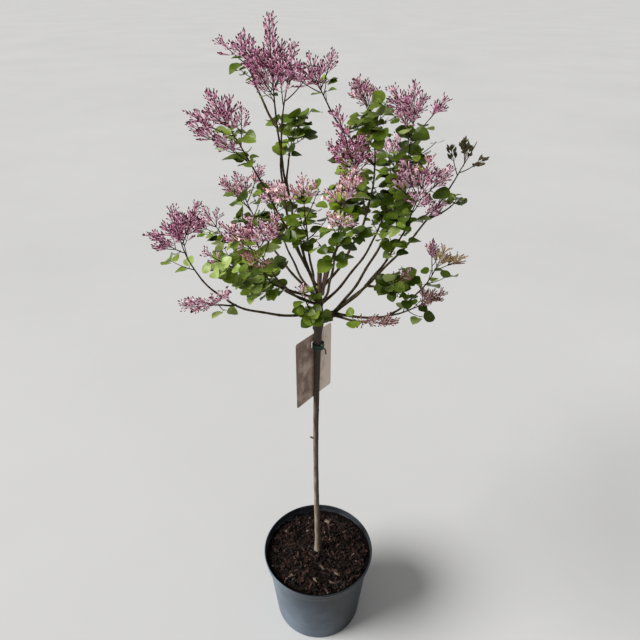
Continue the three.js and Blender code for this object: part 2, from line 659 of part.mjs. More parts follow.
// The stem of a mass with all its shoots and leaves, but for those that would touch an obstacle.
function makeMass(limb, obstacles) {
  const { stem, shoots } = layOutShoots(limb);
  const random = seededRandom(limb.index + LEAF_SEED);
  const start = limb.enters + CLEARANCE / limb.length;
  const taken = shoots.flatMap(({ path }) => pointsAlong(path, 3, SHOOT.clearFrom, 1));
  const pieces = [makeFloweringShoot(limb.path, start, limb.panicle, limb.radiusAt, limb.across)];
  const growth = { limb, random, pieces, taken };
  for (let pair = 0; pair < limb.pairs; pair += 1) {
    const fraction = (pair + PAIRS.stemFirst) / (limb.pairs + PAIRS.stemSpare);
    growPair(stem, fraction, PAIRS.turn * pair + PAIRS.stemTurn, growth);
  }
  for (const { path, side, panicle, flowers } of shoots) {
    const shape = taper(TWIG.footRadius, TWIG.tipRadius);
    const reference = bearing(side + 90);
    if (flowers) {
      const radiusAt = (fraction) => shape(fraction)[0];
      pieces.push(makeFloweringShoot(path, 0, panicle, radiusAt, reference));
    } else {
      pieces.push(solidOf(bar(path, evenly(TWIG.steps), TWIG.sides, shape, reference)));
      growPair(path, PAIRS.top, side + PAIRS.turn, growth);
    }
    const bare = 1 - panicle / path.getLength();
    for (let pair = 0; pair < limb.pairs; pair += 1) {
      const fraction = (bare * (pair + PAIRS.shootFirst)) / (limb.pairs + PAIRS.shootSpare);
      growPair(path, fraction, side + PAIRS.turn * pair, growth);
    }
  }
  const clear = pieces.filter((piece, i) => i === 0 || piece.intersect(obstacles).isEmpty());
  return mainBody(wasm.Manifold.union(clear));
}

// ---- Assembly -------------------------------------------------------------------------------

const lilac = new THREE.Group();
const container = new THREE.Group();
const plant = new THREE.Group();
plant.position.z = TRUNK.graftHeight;
lilac.add(container, plant);

container.add(meshOf("pot", makePot(), FINISHES.pot));
container.add(meshOf("soil", makeSoil(), FINISHES.soil));
plant.add(meshOf("trunk", makeTrunk(0), FINISHES.bark));
const label = meshOf("label", makeLabel(), FINISHES.card);
label.rotation.z = radians(LABEL.turn);
plant.add(label);
plant.add(meshOf("tie", makeTie(), FINISHES.tie));

LIMBS.forEach(layOutLimb);
for (const limb of limbs.values()) {
  const steps = Math.ceil(limb.length / SAMPLE_STEP);
  limb.boughPoints = pointsAlong(limb.path, steps, 0, limb.enters);
  limb.stemPoints = pointsAlong(limb.path, steps, limb.enters, 1);
}

// Each bough is cut clear of the trunk and of the boughs made before it.
const grownNeighbours = [makeTrunk(CLEARANCE)];
for (const limb of [...limbs.values()].filter(({ enters }) => enters > 0)) {
  const cutters = wasm.Manifold.union(grownNeighbours);
  const bough = mainBody(makeBough(limb, 0).subtract(cutters));
  plant.add(meshOf(`bough_${limb.name}`, bough, FINISHES.bark));
  grownNeighbours.push(makeBough(limb, CLEARANCE));
}

let obstacles = wasm.Manifold.union(grownNeighbours);
for (const limb of limbs.values()) {
  const grown = makeMass(limb, obstacles);
  const mass = limb.enters > 0 ? grown : mainBody(grown.subtract(grownNeighbours[0]));
  const finish = limb.finish ?? (limb.blooms >= limb.shoots ? "blossom" : "foliage");
  plant.add(meshOf(`foliage_${limb.name}`, mass, FINISHES[finish]));
  obstacles = obstacles.add(mass);
}

export default lilac;
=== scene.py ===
import math

import bpy
import numpy as np
from mathutils import Euler, Matrix, Vector, noise


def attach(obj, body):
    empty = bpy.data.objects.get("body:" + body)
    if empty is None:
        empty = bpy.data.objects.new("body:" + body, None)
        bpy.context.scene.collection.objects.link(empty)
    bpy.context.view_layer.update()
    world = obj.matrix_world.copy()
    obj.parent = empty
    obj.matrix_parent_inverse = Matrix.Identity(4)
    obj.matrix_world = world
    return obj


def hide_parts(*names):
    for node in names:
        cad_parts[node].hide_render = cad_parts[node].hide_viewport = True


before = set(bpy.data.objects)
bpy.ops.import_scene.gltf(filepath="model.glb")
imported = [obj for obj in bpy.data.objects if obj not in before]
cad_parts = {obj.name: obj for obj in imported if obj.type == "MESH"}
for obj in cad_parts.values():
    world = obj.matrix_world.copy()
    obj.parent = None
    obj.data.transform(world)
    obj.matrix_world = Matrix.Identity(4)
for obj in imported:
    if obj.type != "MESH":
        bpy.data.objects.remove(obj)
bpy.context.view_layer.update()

# ---- Studio ----------------------------------------------------------------------------------
# The plant stands on a plain pale floor in soft daylight from a window on its left, with the
# room's light filling its other side. The camera looks down on it from head height.

stage = bpy.context.scene
stage.view_settings.view_transform = "Standard"

LOOK_DOWN = 31.1
lens = bpy.data.cameras.new("eye")
lens.sensor_width = 36.0
lens.lens = 32.12
lens.shift_x = 0.0028
lens.clip_end = 200.0
eye = bpy.data.objects.new("eye", lens)
eye.location = (0.0, -0.8996, 1.391)
eye.rotation_euler = (math.radians(90 - LOOK_DOWN), 0.0, 0.0)
stage.collection.objects.link(eye)
stage.camera = eye

towards_window = Vector((-1.0, -0.22, 0.82))
window = bpy.data.lights.new("window", "SUN")
window.energy = 4.1
window.angle = math.radians(34)
window.color = (1.0, 0.985, 0.96)
window_object = bpy.data.objects.new("window", window)
window_object.rotation_euler = towards_window.to_track_quat("Z", "Y").to_euler()
stage.collection.objects.link(window_object)

room = bpy.data.worlds.new("room")
room.use_nodes = True
room_light = room.node_tree.nodes["Background"]
room_light.inputs["Color"].default_value = (1.0, 0.99, 0.975, 1.0)
room_light.inputs["Strength"].default_value = 0.34
stage.world = room


def finish(name, shades, scale, roughness, relief_scale, relief, grain=(1.0, 1.0, 1.0),
           depth=0.0004, drift=(0.0, 0.0, 0.0), gloss_level=0.5):
    """A surface whose colour, gloss and relief all vary a little from place to place.

    The last colours of shades show where the blotches are strong, and drift says how much
    stronger they grow along each axis, per metre.
    """
    material = bpy.data.materials.new(name)
    material.use_nodes = True
    nodes = material.node_tree.nodes
    join = material.node_tree.links.new

    def node(kind, settings):
        made = nodes.new("ShaderNode" + kind)
        for socket, value in settings.items():
            made.inputs[socket].default_value = value
        return made

    shader = nodes["Principled BSDF"]
    shader.inputs["Specular IOR Level"].default_value = gloss_level
    place = node("TexCoord", {})
    stretch = node("Mapping", {"Scale": grain})
    blotches = node("TexNoise", {"Scale": scale, "Detail": 5.0, "Roughness": 0.6})
    slope = node("VectorMath", {1: drift})
    slope.operation = "DOT_PRODUCT"
    strength = node("Math", {})
    ramp = node("ValToRGB", {})
    while len(ramp.color_ramp.elements) < len(shades):
        ramp.color_ramp.elements.new(0.5)
    for element, (position, colour) in zip(ramp.color_ramp.elements, shades):
        element.position = position
        element.color = (*colour, 1.0)
    gloss = node("MapRange", {"To Min": roughness[0], "To Max": roughness[1]})
    pits = node("TexNoise", {"Scale": relief_scale, "Detail": 4.0})
    bump = node("Bump", {"Strength": relief, "Distance": depth})
    join(place.outputs["Object"], stretch.inputs["Vector"])
    join(place.outputs["Object"], slope.inputs[0])
    join(stretch.outputs["Vector"], blotches.inputs["Vector"])
    join(stretch.outputs["Vector"], pits.inputs["Vector"])
    join(blotches.outputs["Fac"], strength.inputs[0])
    join(slope.outputs["Value"], strength.inputs[1])
    join(strength.outputs["Value"], ramp.inputs["Fac"])
    join(ramp.outputs["Color"], shader.inputs["Base Color"])
    join(blotches.outputs["Fac"], gloss.inputs["Value"])
    join(gloss.outputs["Result"], shader.inputs["Roughness"])
    join(pits.outputs["Fac"], bump.inputs["Height"])
    join(bump.outputs["Normal"], shader.inputs["Normal"])
    return material


def piece(name, vertices, faces, material, smooth=True):
    """A mesh object from arrays of corners, in metres, and of the faces between them."""
    mesh = bpy.data.meshes.new(name)
    mesh.from_pydata(np.asarray(vertices, float).tolist(), [], [list(f) for f in faces])
    mesh.polygons.foreach_set("use_smooth", np.full(len(mesh.polygons), smooth))
    mesh.materials.append(material)
    mesh.update()
    made = bpy.data.objects.new(name, mesh)
    stage.collection.objects.link(made)
    return made


FLOOR_REACH = 90.0
floor_corners = [(x * FLOOR_REACH, y * FLOOR_REACH, 0) for x, y in ((-1, -1), (1, -1), (1, 1), (-1, 1))]
floor = piece("floor", floor_corners, [(0, 1, 2, 3)], finish(
    "pale_floor", [(0.3, (0.555, 0.560, 0.565)), (0.7, (0.595, 0.600, 0.606))],
    scale=0.7, roughness=(0.6, 0.7), relief_scale=30.0, relief=0.05))

# ---- Pot -------------------------------------------------------------------------------------
# A round nursery pot, injection-moulded in grey-blue polypropylene about two millimetres thick.
# Its tapering body steps out to a stiff flared band, which ends in a small rolled lip.

MM = 0.001
POT = dict(height=208, rim=130, band=24, band_foot=126.5, body_top=121, body_foot=103, floor=2.5,
           lip=1.5, lip_drop=1.2, foot_round=3.2, band_round=1.4, sides=144)


def ring_faces(gaps, sides):
    """Quads between rings of corners, from one ring to the next."""
    return [
        (i * sides + j, i * sides + (j + 1) % sides,
         (i + 1) * sides + (j + 1) % sides, (i + 1) * sides + j)
        for i in range(gaps) for j in range(sides)
    ]


def turned(profile):
    """A skin turned round Z from points of (radius, height), in millimetres."""
    profile = np.array(profile, float) * MM
    sides = POT["sides"]
    turn = np.linspace(0, 2 * math.pi, sides, endpoint=False)
    vertices = np.stack([
        profile[:, None, 0] * np.cos(turn), profile[:, None, 0] * np.sin(turn),
        np.repeat(profile[:, 1:], sides, 1),
    ], -1).reshape(-1, 3)
    return vertices, ring_faces(len(profile) - 1, sides)


def arc(centre, radius, start, end, steps):
    """Points of a rounded corner in a profile, from one angle to another in degrees."""
    turns = np.radians(np.linspace(start, end, steps))
    return [(centre[0] + radius * math.cos(a), centre[1] + radius * math.sin(a)) for a in turns]


shoulder = POT["height"] - POT["band"]


def body_radius(height):
    """The outside of the tapering body, below its shoulder."""
    return POT["body_foot"] + (POT["body_top"] - POT["body_foot"]) * height / shoulder


foot_round, band_round, lip = POT["foot_round"], POT["band_round"], POT["lip"]
rim, top, body_top = POT["rim"], POT["height"], POT["body_top"]
FOOT_GROOVE = [(84.0, 0.0), (88.0, 1.6), (94.0, 1.6), (97.0, 0.0)]
outside = [(1.0, 0.0), *FOOT_GROOVE]
outside += arc((body_radius(3) - foot_round, foot_round), foot_round, -88, -8, 6)
outside += [(body_radius(z), z) for z in (12, 40, 80, 120, 150, 172)]
outside += [(body_radius(shoulder - 4), shoulder - 4), (body_top + 0.4, shoulder - 1.4)]
outside += arc((POT["band_foot"] - 1.6, shoulder + band_round), band_round, -85, -5, 5)
outside += [(rim - 2.7, top - 18), (rim - 1.8, top - 11), (rim - 1.4, top - 6.4)]
outside += arc((rim - lip, top - lip - POT["lip_drop"]), lip, -35, 90, 6)
mouth = [outside[-1], (rim - 2.7, top - 1.0), (rim - 3.1, top - 2.4), (rim - 3.8, top - 10)]
mouth += [(rim - 5, shoulder + 3.2), (body_top - 1.4, shoulder + 1.8), (body_top - 2, shoulder - 2)]
mouth += [(111.0, 100.0), (101.6, 6.0), (99.0, POT["floor"]), (1.0, POT["floor"])]
# The outside is painted lighter towards the front left, where the window's light and its sheen fall, and
# darker towards the back right, as painted shade.
pot = piece("pot_moulding", *turned(outside), finish(
    "grey_blue_plastic",
    [(0.47, (0.017, 0.021, 0.027)), (0.61, (0.046, 0.061, 0.079)), (0.80, (0.130, 0.170, 0.218))],
    scale=3.5, roughness=(0.34, 0.46), relief_scale=260.0, relief=0.12, drift=(-2.8, -0.85, 0.0),
    gloss_level=0.22))
# The inside is darker for soil dust and for painted shade cast by the pot's own wall, and it is painted
# lighter towards the right, where the window's light reaches the inner wall.
pot_inside = piece("pot_inside", *turned(mouth), finish(
    "soiled_plastic", [(0.35, (0.012, 0.014, 0.017)), (0.65, (0.040, 0.048, 0.057))],
    scale=24.0, roughness=(0.45, 0.65), relief_scale=260.0, relief=0.15, drift=(0.5, 0.0, 0.0),
    gloss_level=0.12))
for moulded in (pot, pot_inside):
    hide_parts("pot")
    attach(moulded, "root")

# ---- Bark mulch ------------------------------------------------------------------------------
# The pot is filled with composted bark: a dark crumbly bed under loose chips and slivers, some
# red-brown from the inner bark and a few weathered pale. It lies a finger's width below the lip.


class Draws:
    """A repeatable stream of numbers, the same one that the solids are laid out with."""

    def __init__(self, seed):
        self.state = (seed * 2654435761) % 2**32

    def __call__(self, low=0.0, high=1.0):
        self.state = (self.state * 1664525 + 1013904223) % 2**32
        return low + (high - low) * self.state / 2**32


class Heap:
    """Many small forms gathered into one mesh, in millimetres."""

    def __init__(self):
        self.vertices = []
        self.faces = []
        self.count = 0

    def add(self, vertices, faces):
        """Takes in one more form."""
        self.vertices.append(np.asarray(vertices, float))
        self.faces.append(np.asarray(faces, int) + self.count)
        self.count += len(vertices)

    def made(self, name, material, smooth=True, lift=0.0):
        """The piece of all its forms, raised by lift."""
        corners = (np.concatenate(self.vertices) + (0.0, 0.0, lift)) * MM
        return piece(name, corners, np.concatenate(self.faces).tolist(), material, smooth)


BED = dict(top=192.0, radius=125.0, eye=0.5, mound=9.0, mound_radius=42, washed=5.0, rings=46, sides=120)


def bed_level(x, y):
    """The bed is lumpy, mounds up round the stem and has washed lower at the back left."""
    mound = BED["mound"] * math.exp(-((math.hypot(x, y) / BED["mound_radius"]) ** 2))
    lumps = 3.2 * noise.noise(Vector((x, y, 0)) / 16) + 1.6 * noise.noise(Vector((x, y, 5)) / 5)
    return BED["top"] + mound + lumps - BED["washed"] * max(0.0, (y - x) / 170)


bed = []
for radius in np.linspace(BED["eye"], BED["radius"], BED["rings"] + 1):
    for turn in np.linspace(0, 2 * math.pi, BED["sides"], endpoint=False):
        x, y = radius * math.cos(turn), radius * math.sin(turn)
        bed.append((x * MM, y * MM, bed_level(x, y) * MM))
crumb = piece("mulch_bed", bed, ring_faces(BED["rings"], BED["sides"]), finish(
    "crumbly_bark", [(0.35, (0.002, 0.0015, 0.0015)), (0.65, (0.008, 0.005, 0.004))], scale=220.0,
    roughness=(0.8, 0.95), relief_scale=700.0, relief=0.8, depth=0.002, gloss_level=0.06))

CHIP = dict(seed=11, loose=2700, thick=60, red=0.22, pale=0.03, thick_dark=0.75, reach=121.0)
chip_draw = Draws(CHIP["seed"])
chips = {"dark": Heap(), "red": Heap(), "pale": Heap()}
CHIP_FACES = [(0, 2, 1), (0, 3, 2), (4, 5, 6), (4, 6, 7), (0, 1, 5), (0, 5, 4), (1, 2, 6),
              (1, 6, 5), (2, 3, 7), (2, 7, 6), (3, 0, 4), (3, 4, 7)]


def lay_chip(kind, x, y, length, width, thick):
    """A split piece of bark, tipped at random where it lies."""
    corners = np.array([
        (sx * length / 2 * chip_draw(0.7, 1), sy * width / 2 * chip_draw(0.45, 1), sz * thick / 2)
        for sz in (-1, 1) for sx, sy in ((-1, -1), (1, -1), (1, 1), (-1, 1))
    ])
    yaw, pitch, roll = chip_draw(0, 2 * math.pi), chip_draw(-0.6, 0.6), chip_draw(-0.85, 0.85)
    tipped = np.array(Euler((roll, pitch, yaw)).to_matrix())
    z = bed_level(x, y) + thick * chip_draw(0.1, 1.2)
    chips[kind].add(corners @ tipped.T + (x, y, z), CHIP_FACES)


for _ in range(CHIP["loose"]):
    large = chip_draw() ** 1.7
    length, width = 5 + 21 * large, 2.0 + 6.6 * large * chip_draw(0.4, 1)
    thick = chip_draw(0.8, 3.2)
    radius = (CHIP["reach"] - length / 2) * math.sqrt(chip_draw(0.006, 1))
    turn = chip_draw(0, 2 * math.pi)
    kind = "red" if chip_draw() < CHIP["red"] else ("pale" if chip_draw() < CHIP["pale"] else "dark")
    lay_chip(kind, radius * math.cos(turn), radius * math.sin(turn), length, width, thick)
# Two larger pieces lie on top, and a few thick ones along the front.
lay_chip("pale", 23, 83, 15, 10, 6)
lay_chip("red", 70, -57, 26, 13, 5)
for _ in range(CHIP["thick"]):
    turn = chip_draw(math.radians(205), math.radians(335))
    radius = chip_draw(60, 110)
    kind = "dark" if chip_draw() < CHIP["thick_dark"] else "red"
    lay_chip(kind, radius * math.cos(turn), radius * math.sin(turn),
             chip_draw(12, 22), chip_draw(6, 11), chip_draw(2.5, 5))
CHIP_SHADES = {
    "dark": [(0.42, (0.0015, 0.001, 0.001)), (0.7, (0.030, 0.020, 0.016))],
    "red": [(0.35, (0.012, 0.006, 0.005)), (0.65, (0.074, 0.035, 0.028))],
    "pale": [(0.35, (0.06, 0.044, 0.032)), (0.65, (0.24, 0.185, 0.14))],
}
mulch = [crumb]
for kind, heap in chips.items():
    material = finish(f"{kind}_bark_chip", CHIP_SHADES[kind], grain=(1, 4, 1), scale=120.0,
                      roughness=(0.4, 0.75), relief_scale=500.0, relief=0.5, gloss_level=0.1)
    mulch.append(heap.made(f"mulch_chips_{kind}", material, smooth=False))
for layer in mulch:
    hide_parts("soil")
    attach(layer, "root")

# ---- Stem ------------------------------------------------------------------------------------
# One straight stem of the rootstock, thin-barked and grey-brown, up to the knobbly graft. Above
# it a short head carries the boughs, among the sawn stubs of the leaders that were cut back.

GRAFT = 838.0
SOIL_SOLID = dict(top=194, mound=9, clear=0.3)
TRUNK = dict(foot_radius=7, waist=5.5, neck=7.2, flare=3.5, flare_height=16, swell=4.2,
             swell_height=26, swell_lift=16, head=85, head_top=5, stub_root=20, bow=-5)
FOOT = sum(SOIL_SOLID.values()) - GRAFT
UP = np.array([0.0, 0.0, 1.0])


def bearing(side):
    """The level direction towards a compass side, in degrees from +X."""
    return np.array([math.cos(math.radians(side)), math.sin(math.radians(side)), 0.0])


def unit(vector):
    """A vector's direction, at unit length."""
    return vector / np.linalg.norm(vector)


def square_to(axis, direction):
    """The part of a direction that lies square to an axis, at unit length."""
    return unit(direction - axis * np.dot(direction, axis))


def opened(axis, side, angle):
    """A direction that opens from an axis by an angle, towards a compass bearing."""
    turn = math.radians(angle)
    return axis * math.cos(turn) + square_to(axis, bearing(side)) * math.sin(turn)


def sweep(points, radii, sides):
    """A closed tube of rings along a line, in triangles."""
    points = np.asarray(points, float)
    tangents = np.gradient(points, axis=0)
    tangents /= np.linalg.norm(tangents, axis=1)[:, None]
    start = UP if abs(tangents[0][2]) < 0.9 else np.array([1.0, 0.0, 0.0])
    normal = square_to(tangents[0], start)
    angles = np.arange(sides)[:, None] * 2 * math.pi / sides
    rings = []
    for point, tangent, radius in zip(points, tangents, radii):
        normal = square_to(tangent, normal)
        spoke = np.cos(angles) * normal + np.sin(angles) * np.cross(tangent, normal)
        rings.append(point + radius * spoke)
    vertices = np.concatenate([*rings, points[:1], points[-1:]])
    j = np.arange(sides)
    k = (j + 1) % sides
    faces = []
    for a in range(0, (len(points) - 1) * sides, sides):
        b = a + sides
        faces += [np.stack([a + j, a + k, b + k], 1), np.stack([a + j, b + k, b + j], 1)]
    last, foot = (len(points) - 1) * sides, len(points) * sides
    faces += [np.stack([k, j, np.full(sides, foot)], 1),
              np.stack([last + j, last + k, np.full(sides, foot + 1)], 1)]
    return vertices, np.concatenate(faces)


def trunk_centre(height):
    """The middle of the slightly bowed stem at a height above the graft."""
    share = min(1.0, (height - FOOT) / -FOOT)
    return np.array([TRUNK["bow"] * math.sin(math.pi * share), 0.0, height])


def trunk_radius(height):
    """The stem flares at its foot and swells at the graft, and its head narrows to the top."""
    shaft = min(1.0, max(0.0, (height - FOOT) / -FOOT))
    below = TRUNK["waist"] + (TRUNK["foot_radius"] - TRUNK["waist"]) * (1 - min(1, shaft * 2)) ** 2
    above = (TRUNK["neck"] - TRUNK["waist"]) * max(0.0, shaft * 2 - 1) ** 2
    flare = TRUNK["flare"] * math.exp(-(height - FOOT) / TRUNK["flare_height"])
    from_graft = (height - TRUNK["swell_lift"]) / TRUNK["swell_height"]
    swell = TRUNK["swell"] * math.exp(-(from_graft**2))
    head = max(0.0, height / TRUNK["head"])
    return below + above + flare + swell + (TRUNK["head_top"] - TRUNK["neck"]) * head


def bezier(foot, middle, tip, t):
    """Points of a curve that leaves its foot and reaches its tip along its middle point."""
    t = np.asarray(t)[..., None]
    return (1 - t) ** 2 * foot + 2 * t * (1 - t) * middle + t**2 * tip


KNUCKLE = (np.array([0, 0, 12.0]), bearing(-24) * 21 + UP * 12, bearing(-24) * 30 + UP * 34)
KNUCKLE_RADII = (7, 5.5)
# Each sawn leader's side, its lean, how far out it stands, its length and its radius.
STUBS = [(-60, 3, 4, 46, 3.8), (-20, 9, 7, 32, 4.0), (80, 8, 2, 22, 3.4)]
STUB_TAPER = 0.85
SPUR = dict(height=-282, side=178, lean=65, length=13, foot=2.6, tip=1.7)
KNOB = dict(height=-203, side=4, out=3.4)
LUMPS = dict(seed=21, count=22, lowest=-6, highest=78, smallest=2.4, largest=4.2)
wood = Heap()
heights = np.linspace(FOOT - 6, TRUNK["head"], 330)
wood.add(*sweep([trunk_centre(h) for h in heights], [trunk_radius(max(h, FOOT)) for h in heights], 28))
leaders = Heap()
ends = Heap()
for side, lean, shift, length, radius in STUBS:
    direction = opened(UP, side, lean)
    foot = bearing(side) * shift + UP * (TRUNK["head"] - TRUNK["stub_root"])
    top = foot + direction * (length + TRUNK["stub_root"])
    cut = radius * STUB_TAPER
    ribs = np.linspace(radius, cut, 30) * (1 + 0.05 * np.sin(np.arange(30) * 0.8))
    leaders.add(*sweep(np.linspace(foot, top, 30), ribs, 20))
    ends.add(*sweep([top - direction * 0.4, top + direction * 0.5, top + direction * 0.7],
                    [cut * 0.96, cut * 0.93, cut * 0.8], 20))
spur_foot = trunk_centre(SPUR["height"])
spur_tip = spur_foot + opened(UP, SPUR["side"], SPUR["lean"]) * SPUR["length"]
spur_radii = np.linspace(SPUR["foot"], SPUR["tip"], 12)
leaders.add(*sweep(np.linspace(spur_foot, spur_tip, 12), spur_radii, 12))
knob = trunk_centre(KNOB["height"]) + bearing(KNOB["side"]) * KNOB["out"]
wood.add(*sweep([knob + UP * z for z in (-5, -3, 0, 3, 5)], [0.5, 2.6, 3.4, 2.6, 0.5], 12))
wood.add(*sweep(bezier(*KNUCKLE, np.linspace(0, 1, 24)), np.linspace(*KNUCKLE_RADII, 24), 20))
# Healed lumps where the graft took, and the collars of old shoots round the head.
lump_draw = Draws(LUMPS["seed"])
for _ in range(LUMPS["count"]):
    height = lump_draw(LUMPS["lowest"], LUMPS["highest"])
    side = lump_draw(0, 360)
    at = bearing(side) * trunk_radius(height) * 0.72 + UP * height
    size = lump_draw(LUMPS["smallest"], LUMPS["largest"])
    lump = [at + UP * z * size for z in (-1.3, -0.9, -0.3, 0.3, 0.9, 1.3)]
    wood.add(*sweep(lump, [0.2, size * 0.75, size, size, size * 0.75, 0.2], 10))

# The bark is painted lighter on its left, where the window's light falls, and darker on its right as
# painted shade; it is also painted darker towards the top, for the crown's shadow.
bark = finish(
    "stem_bark", [(0.0, (0.050, 0.036, 0.027)), (0.07, (0.064, 0.046, 0.034)),
                  (0.23, (0.12, 0.086, 0.064)), (0.5, (0.29, 0.235, 0.18))],
    grain=(1.0, 1.0, 0.16), scale=190.0, roughness=(0.62, 0.9), relief_scale=800.0, relief=0.5,
    drift=(-44.0, 0.0, -1.1), gloss_level=0.3)
stem = wood.made("stem", bark, lift=GRAFT)
blend = stem.modifiers.new("healed", "REMESH")
blend.mode = "VOXEL"
blend.voxel_size = 0.9 * MM
evened = stem.modifiers.new("evened", "SMOOTH")
evened.iterations = 4
evened.factor = 0.6
bpy.context.view_layer.update()
grown = bpy.data.meshes.new_from_object(stem.evaluated_get(bpy.context.evaluated_depsgraph_get()))
stem.modifiers.clear()
stem.data = grown
places, normals = np.empty((2, 3 * len(grown.vertices)))
grown.vertices.foreach_get("co", places)
grown.vertex_normals.foreach_get("vector", normals)
places, normals = places.reshape(-1, 3) / MM, normals.reshape(-1, 3)
# Long shallow furrows, finer ones between them, and low scars that ring the stem.
relief = np.array([
    0.42 * noise.noise(Vector((x * 0.42, y * 0.42, z * 0.045)))
    + 0.2 * noise.noise(Vector((x * 1.1, y * 1.1, z * 0.16)))
    + 0.3 * max(0.0, noise.noise(Vector((x * 0.5, y * 0.5, z * 0.9 + 40))) - 0.3)
    for x, y, z in places
])
grown.vertices.foreach_set("co", ((places + normals * relief[:, None]) * MM).ravel())
grown.polygons.foreach_set("use_smooth", np.full(len(grown.polygons), True))
grown.update()
cut_wood = leaders.made("cut_leaders", finish(
    "dead_bark",
    [(0.3, (0.05, 0.028, 0.02)), (0.5, (0.13, 0.075, 0.055)), (0.7, (0.24, 0.15, 0.115))],
    grain=(1.0, 1.0, 0.2), scale=300.0, roughness=(0.7, 0.92), relief_scale=900.0, relief=0.6),
    lift=GRAFT)
saw_cuts = ends.made("saw_cuts", finish(
    "weathered_end_grain", [(0.35, (0.13, 0.075, 0.05)), (0.65, (0.26, 0.16, 0.11))], scale=500.0,
    roughness=(0.75, 0.9), relief_scale=900.0, relief=0.4), lift=GRAFT)
for wooden in (stem, cut_wood):
    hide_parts("trunk")
for wooden in (stem, cut_wood, saw_cuts):
    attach(wooden, "root")

# ---- Label -----------------------------------------------------------------------------------
# A blank hang card of coated board, with rounded corners and a slot near its top. It hangs on
# the tie behind the stem and has taken a slight bend from the damp.

LABEL = dict(width=105, height=148, thickness=0.8, top=816, turn=51, overhang=-1, set_back=9.6,
             corner=4.0, bend=0.5, slot_width=16.4, slot_height=14.6, slot_middle=793)
COLUMNS, ROWS = 70, 99
across_card = np.linspace(-0.5, 0.5, COLUMNS + 1) * LABEL["width"]
up_card = np.linspace(-0.5, 0.5, ROWS + 1) * LABEL["height"]
card_middle = LABEL["top"] - LABEL["height"] / 2


def card_point(u, v, face):
    """A point of the card before it is turned, on its front or its back face."""
    corner = LABEL["corner"]
    past = max(0.0, abs(v) - (LABEL["height"] / 2 - corner))
    edge = LABEL["width"] / 2 - corner + math.sqrt(max(0.0, corner**2 - past**2))
    u = max(-edge, min(edge, u))
    bend = LABEL["bend"] * (math.cos(math.pi * u / LABEL["width"]) - 0.5)
    depth = LABEL["set_back"] + bend + face * LABEL["thickness"] / 2
    return u + LABEL["overhang"], depth, v + card_middle


def in_slot(i, j):
    """True where a cell of the card lies in its slot."""
    u = (across_card[i] + across_card[i + 1]) / 2 + LABEL["overhang"]
    v = (up_card[j] + up_card[j + 1]) / 2 + card_middle
    beside, above = abs(u), abs(v - LABEL["slot_middle"])
    return beside < LABEL["slot_width"] / 2 and above < LABEL["slot_height"] / 2


card_turn = np.array(Matrix.Rotation(math.radians(LABEL["turn"]), 3, "Z"))
card_corners = [card_point(u, v, face) for face in (-1, 1) for v in up_card for u in across_card]
back = (COLUMNS + 1) * (ROWS + 1)
cells = {(i, j) for i in range(COLUMNS) for j in range(ROWS) if not in_slot(i, j)}
card_faces = []
for i, j in sorted(cells):
    a, b = j * (COLUMNS + 1) + i, j * (COLUMNS + 1) + i + 1
    c, d = b + COLUMNS + 1, a + COLUMNS + 1
    card_faces += [(a, b, c, d), (d + back, c + back, b + back, a + back)]
    edges = {(i, j - 1): (b, a), (i + 1, j): (c, b), (i, j + 1): (d, c), (i - 1, j): (a, d)}
    card_faces += [(p, q, q + back, p + back)
                   for beside, (p, q) in edges.items() if beside not in cells]
card = piece("hang_card", np.array(card_corners) @ card_turn.T * MM, card_faces, finish(
    "coated_board",
    [(0.24, (0.19, 0.125, 0.09)), (0.40, (0.44, 0.32, 0.245)), (0.66, (0.70, 0.58, 0.48))],
    scale=42.0, roughness=(0.42, 0.55), relief_scale=900.0, relief=0.1, drift=(3.6, 4.4, 0.0)),
    smooth=False)
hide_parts("label")
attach(card, "root")

# ---- Tie -------------------------------------------------------------------------------------
# A soft dark green plastic tie, wound three times round the stem and through the card's slot.
# Its cut end is left hanging at the front.

TIE = dict(height=793, radius=10.2, strand=1.6, turns=3, pitch=3.4, start=-35, tail=20, droop=0.9,
           steps=240)
wound_length = 2 * math.pi * TIE["turns"] * TIE["radius"]
tie_line = []
for run in np.linspace(0, wound_length + TIE["tail"], TIE["steps"] + 1):
    wound = min(run, wound_length)
    past = (run - wound) / TIE["tail"]
    angle = math.radians(TIE["start"]) + wound / TIE["radius"]
    out = np.array([math.cos(angle), math.sin(angle), 0])
    on = np.array([-math.sin(angle), math.cos(angle), 0])
    lift = TIE["pitch"] * TIE["turns"] * (0.5 - wound / wound_length)
    point = out * TIE["radius"] + on * TIE["tail"] * past * (1 - TIE["droop"] * past * 0.5)
    point[2] = TIE["height"] + lift - TIE["tail"] * TIE["droop"] * past * past
    tie_line.append(point)
tie_radii = TIE["strand"] * (0.93 + 0.07 * np.cos(np.arange(TIE["steps"] + 1) * 1.3))
strand = Heap()
strand.add(*sweep(tie_line, tie_radii, 12))
tie = strand.made("stem_tie", finish(
    "green_tie_plastic", [(0.35, (0.006, 0.03, 0.02)), (0.65, (0.012, 0.055, 0.036))],
    scale=90.0, roughness=(0.3, 0.45), relief_scale=600.0, relief=0.15))
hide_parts("tie")
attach(tie, "root")

# ---- Boughs ----------------------------------------------------------------------------------
# The grafted lilac's wood: slim boughs that leave the head in a vase and fork low down. The
# bark is thin, brown to grey, and a little swollen at each old pair of buds.

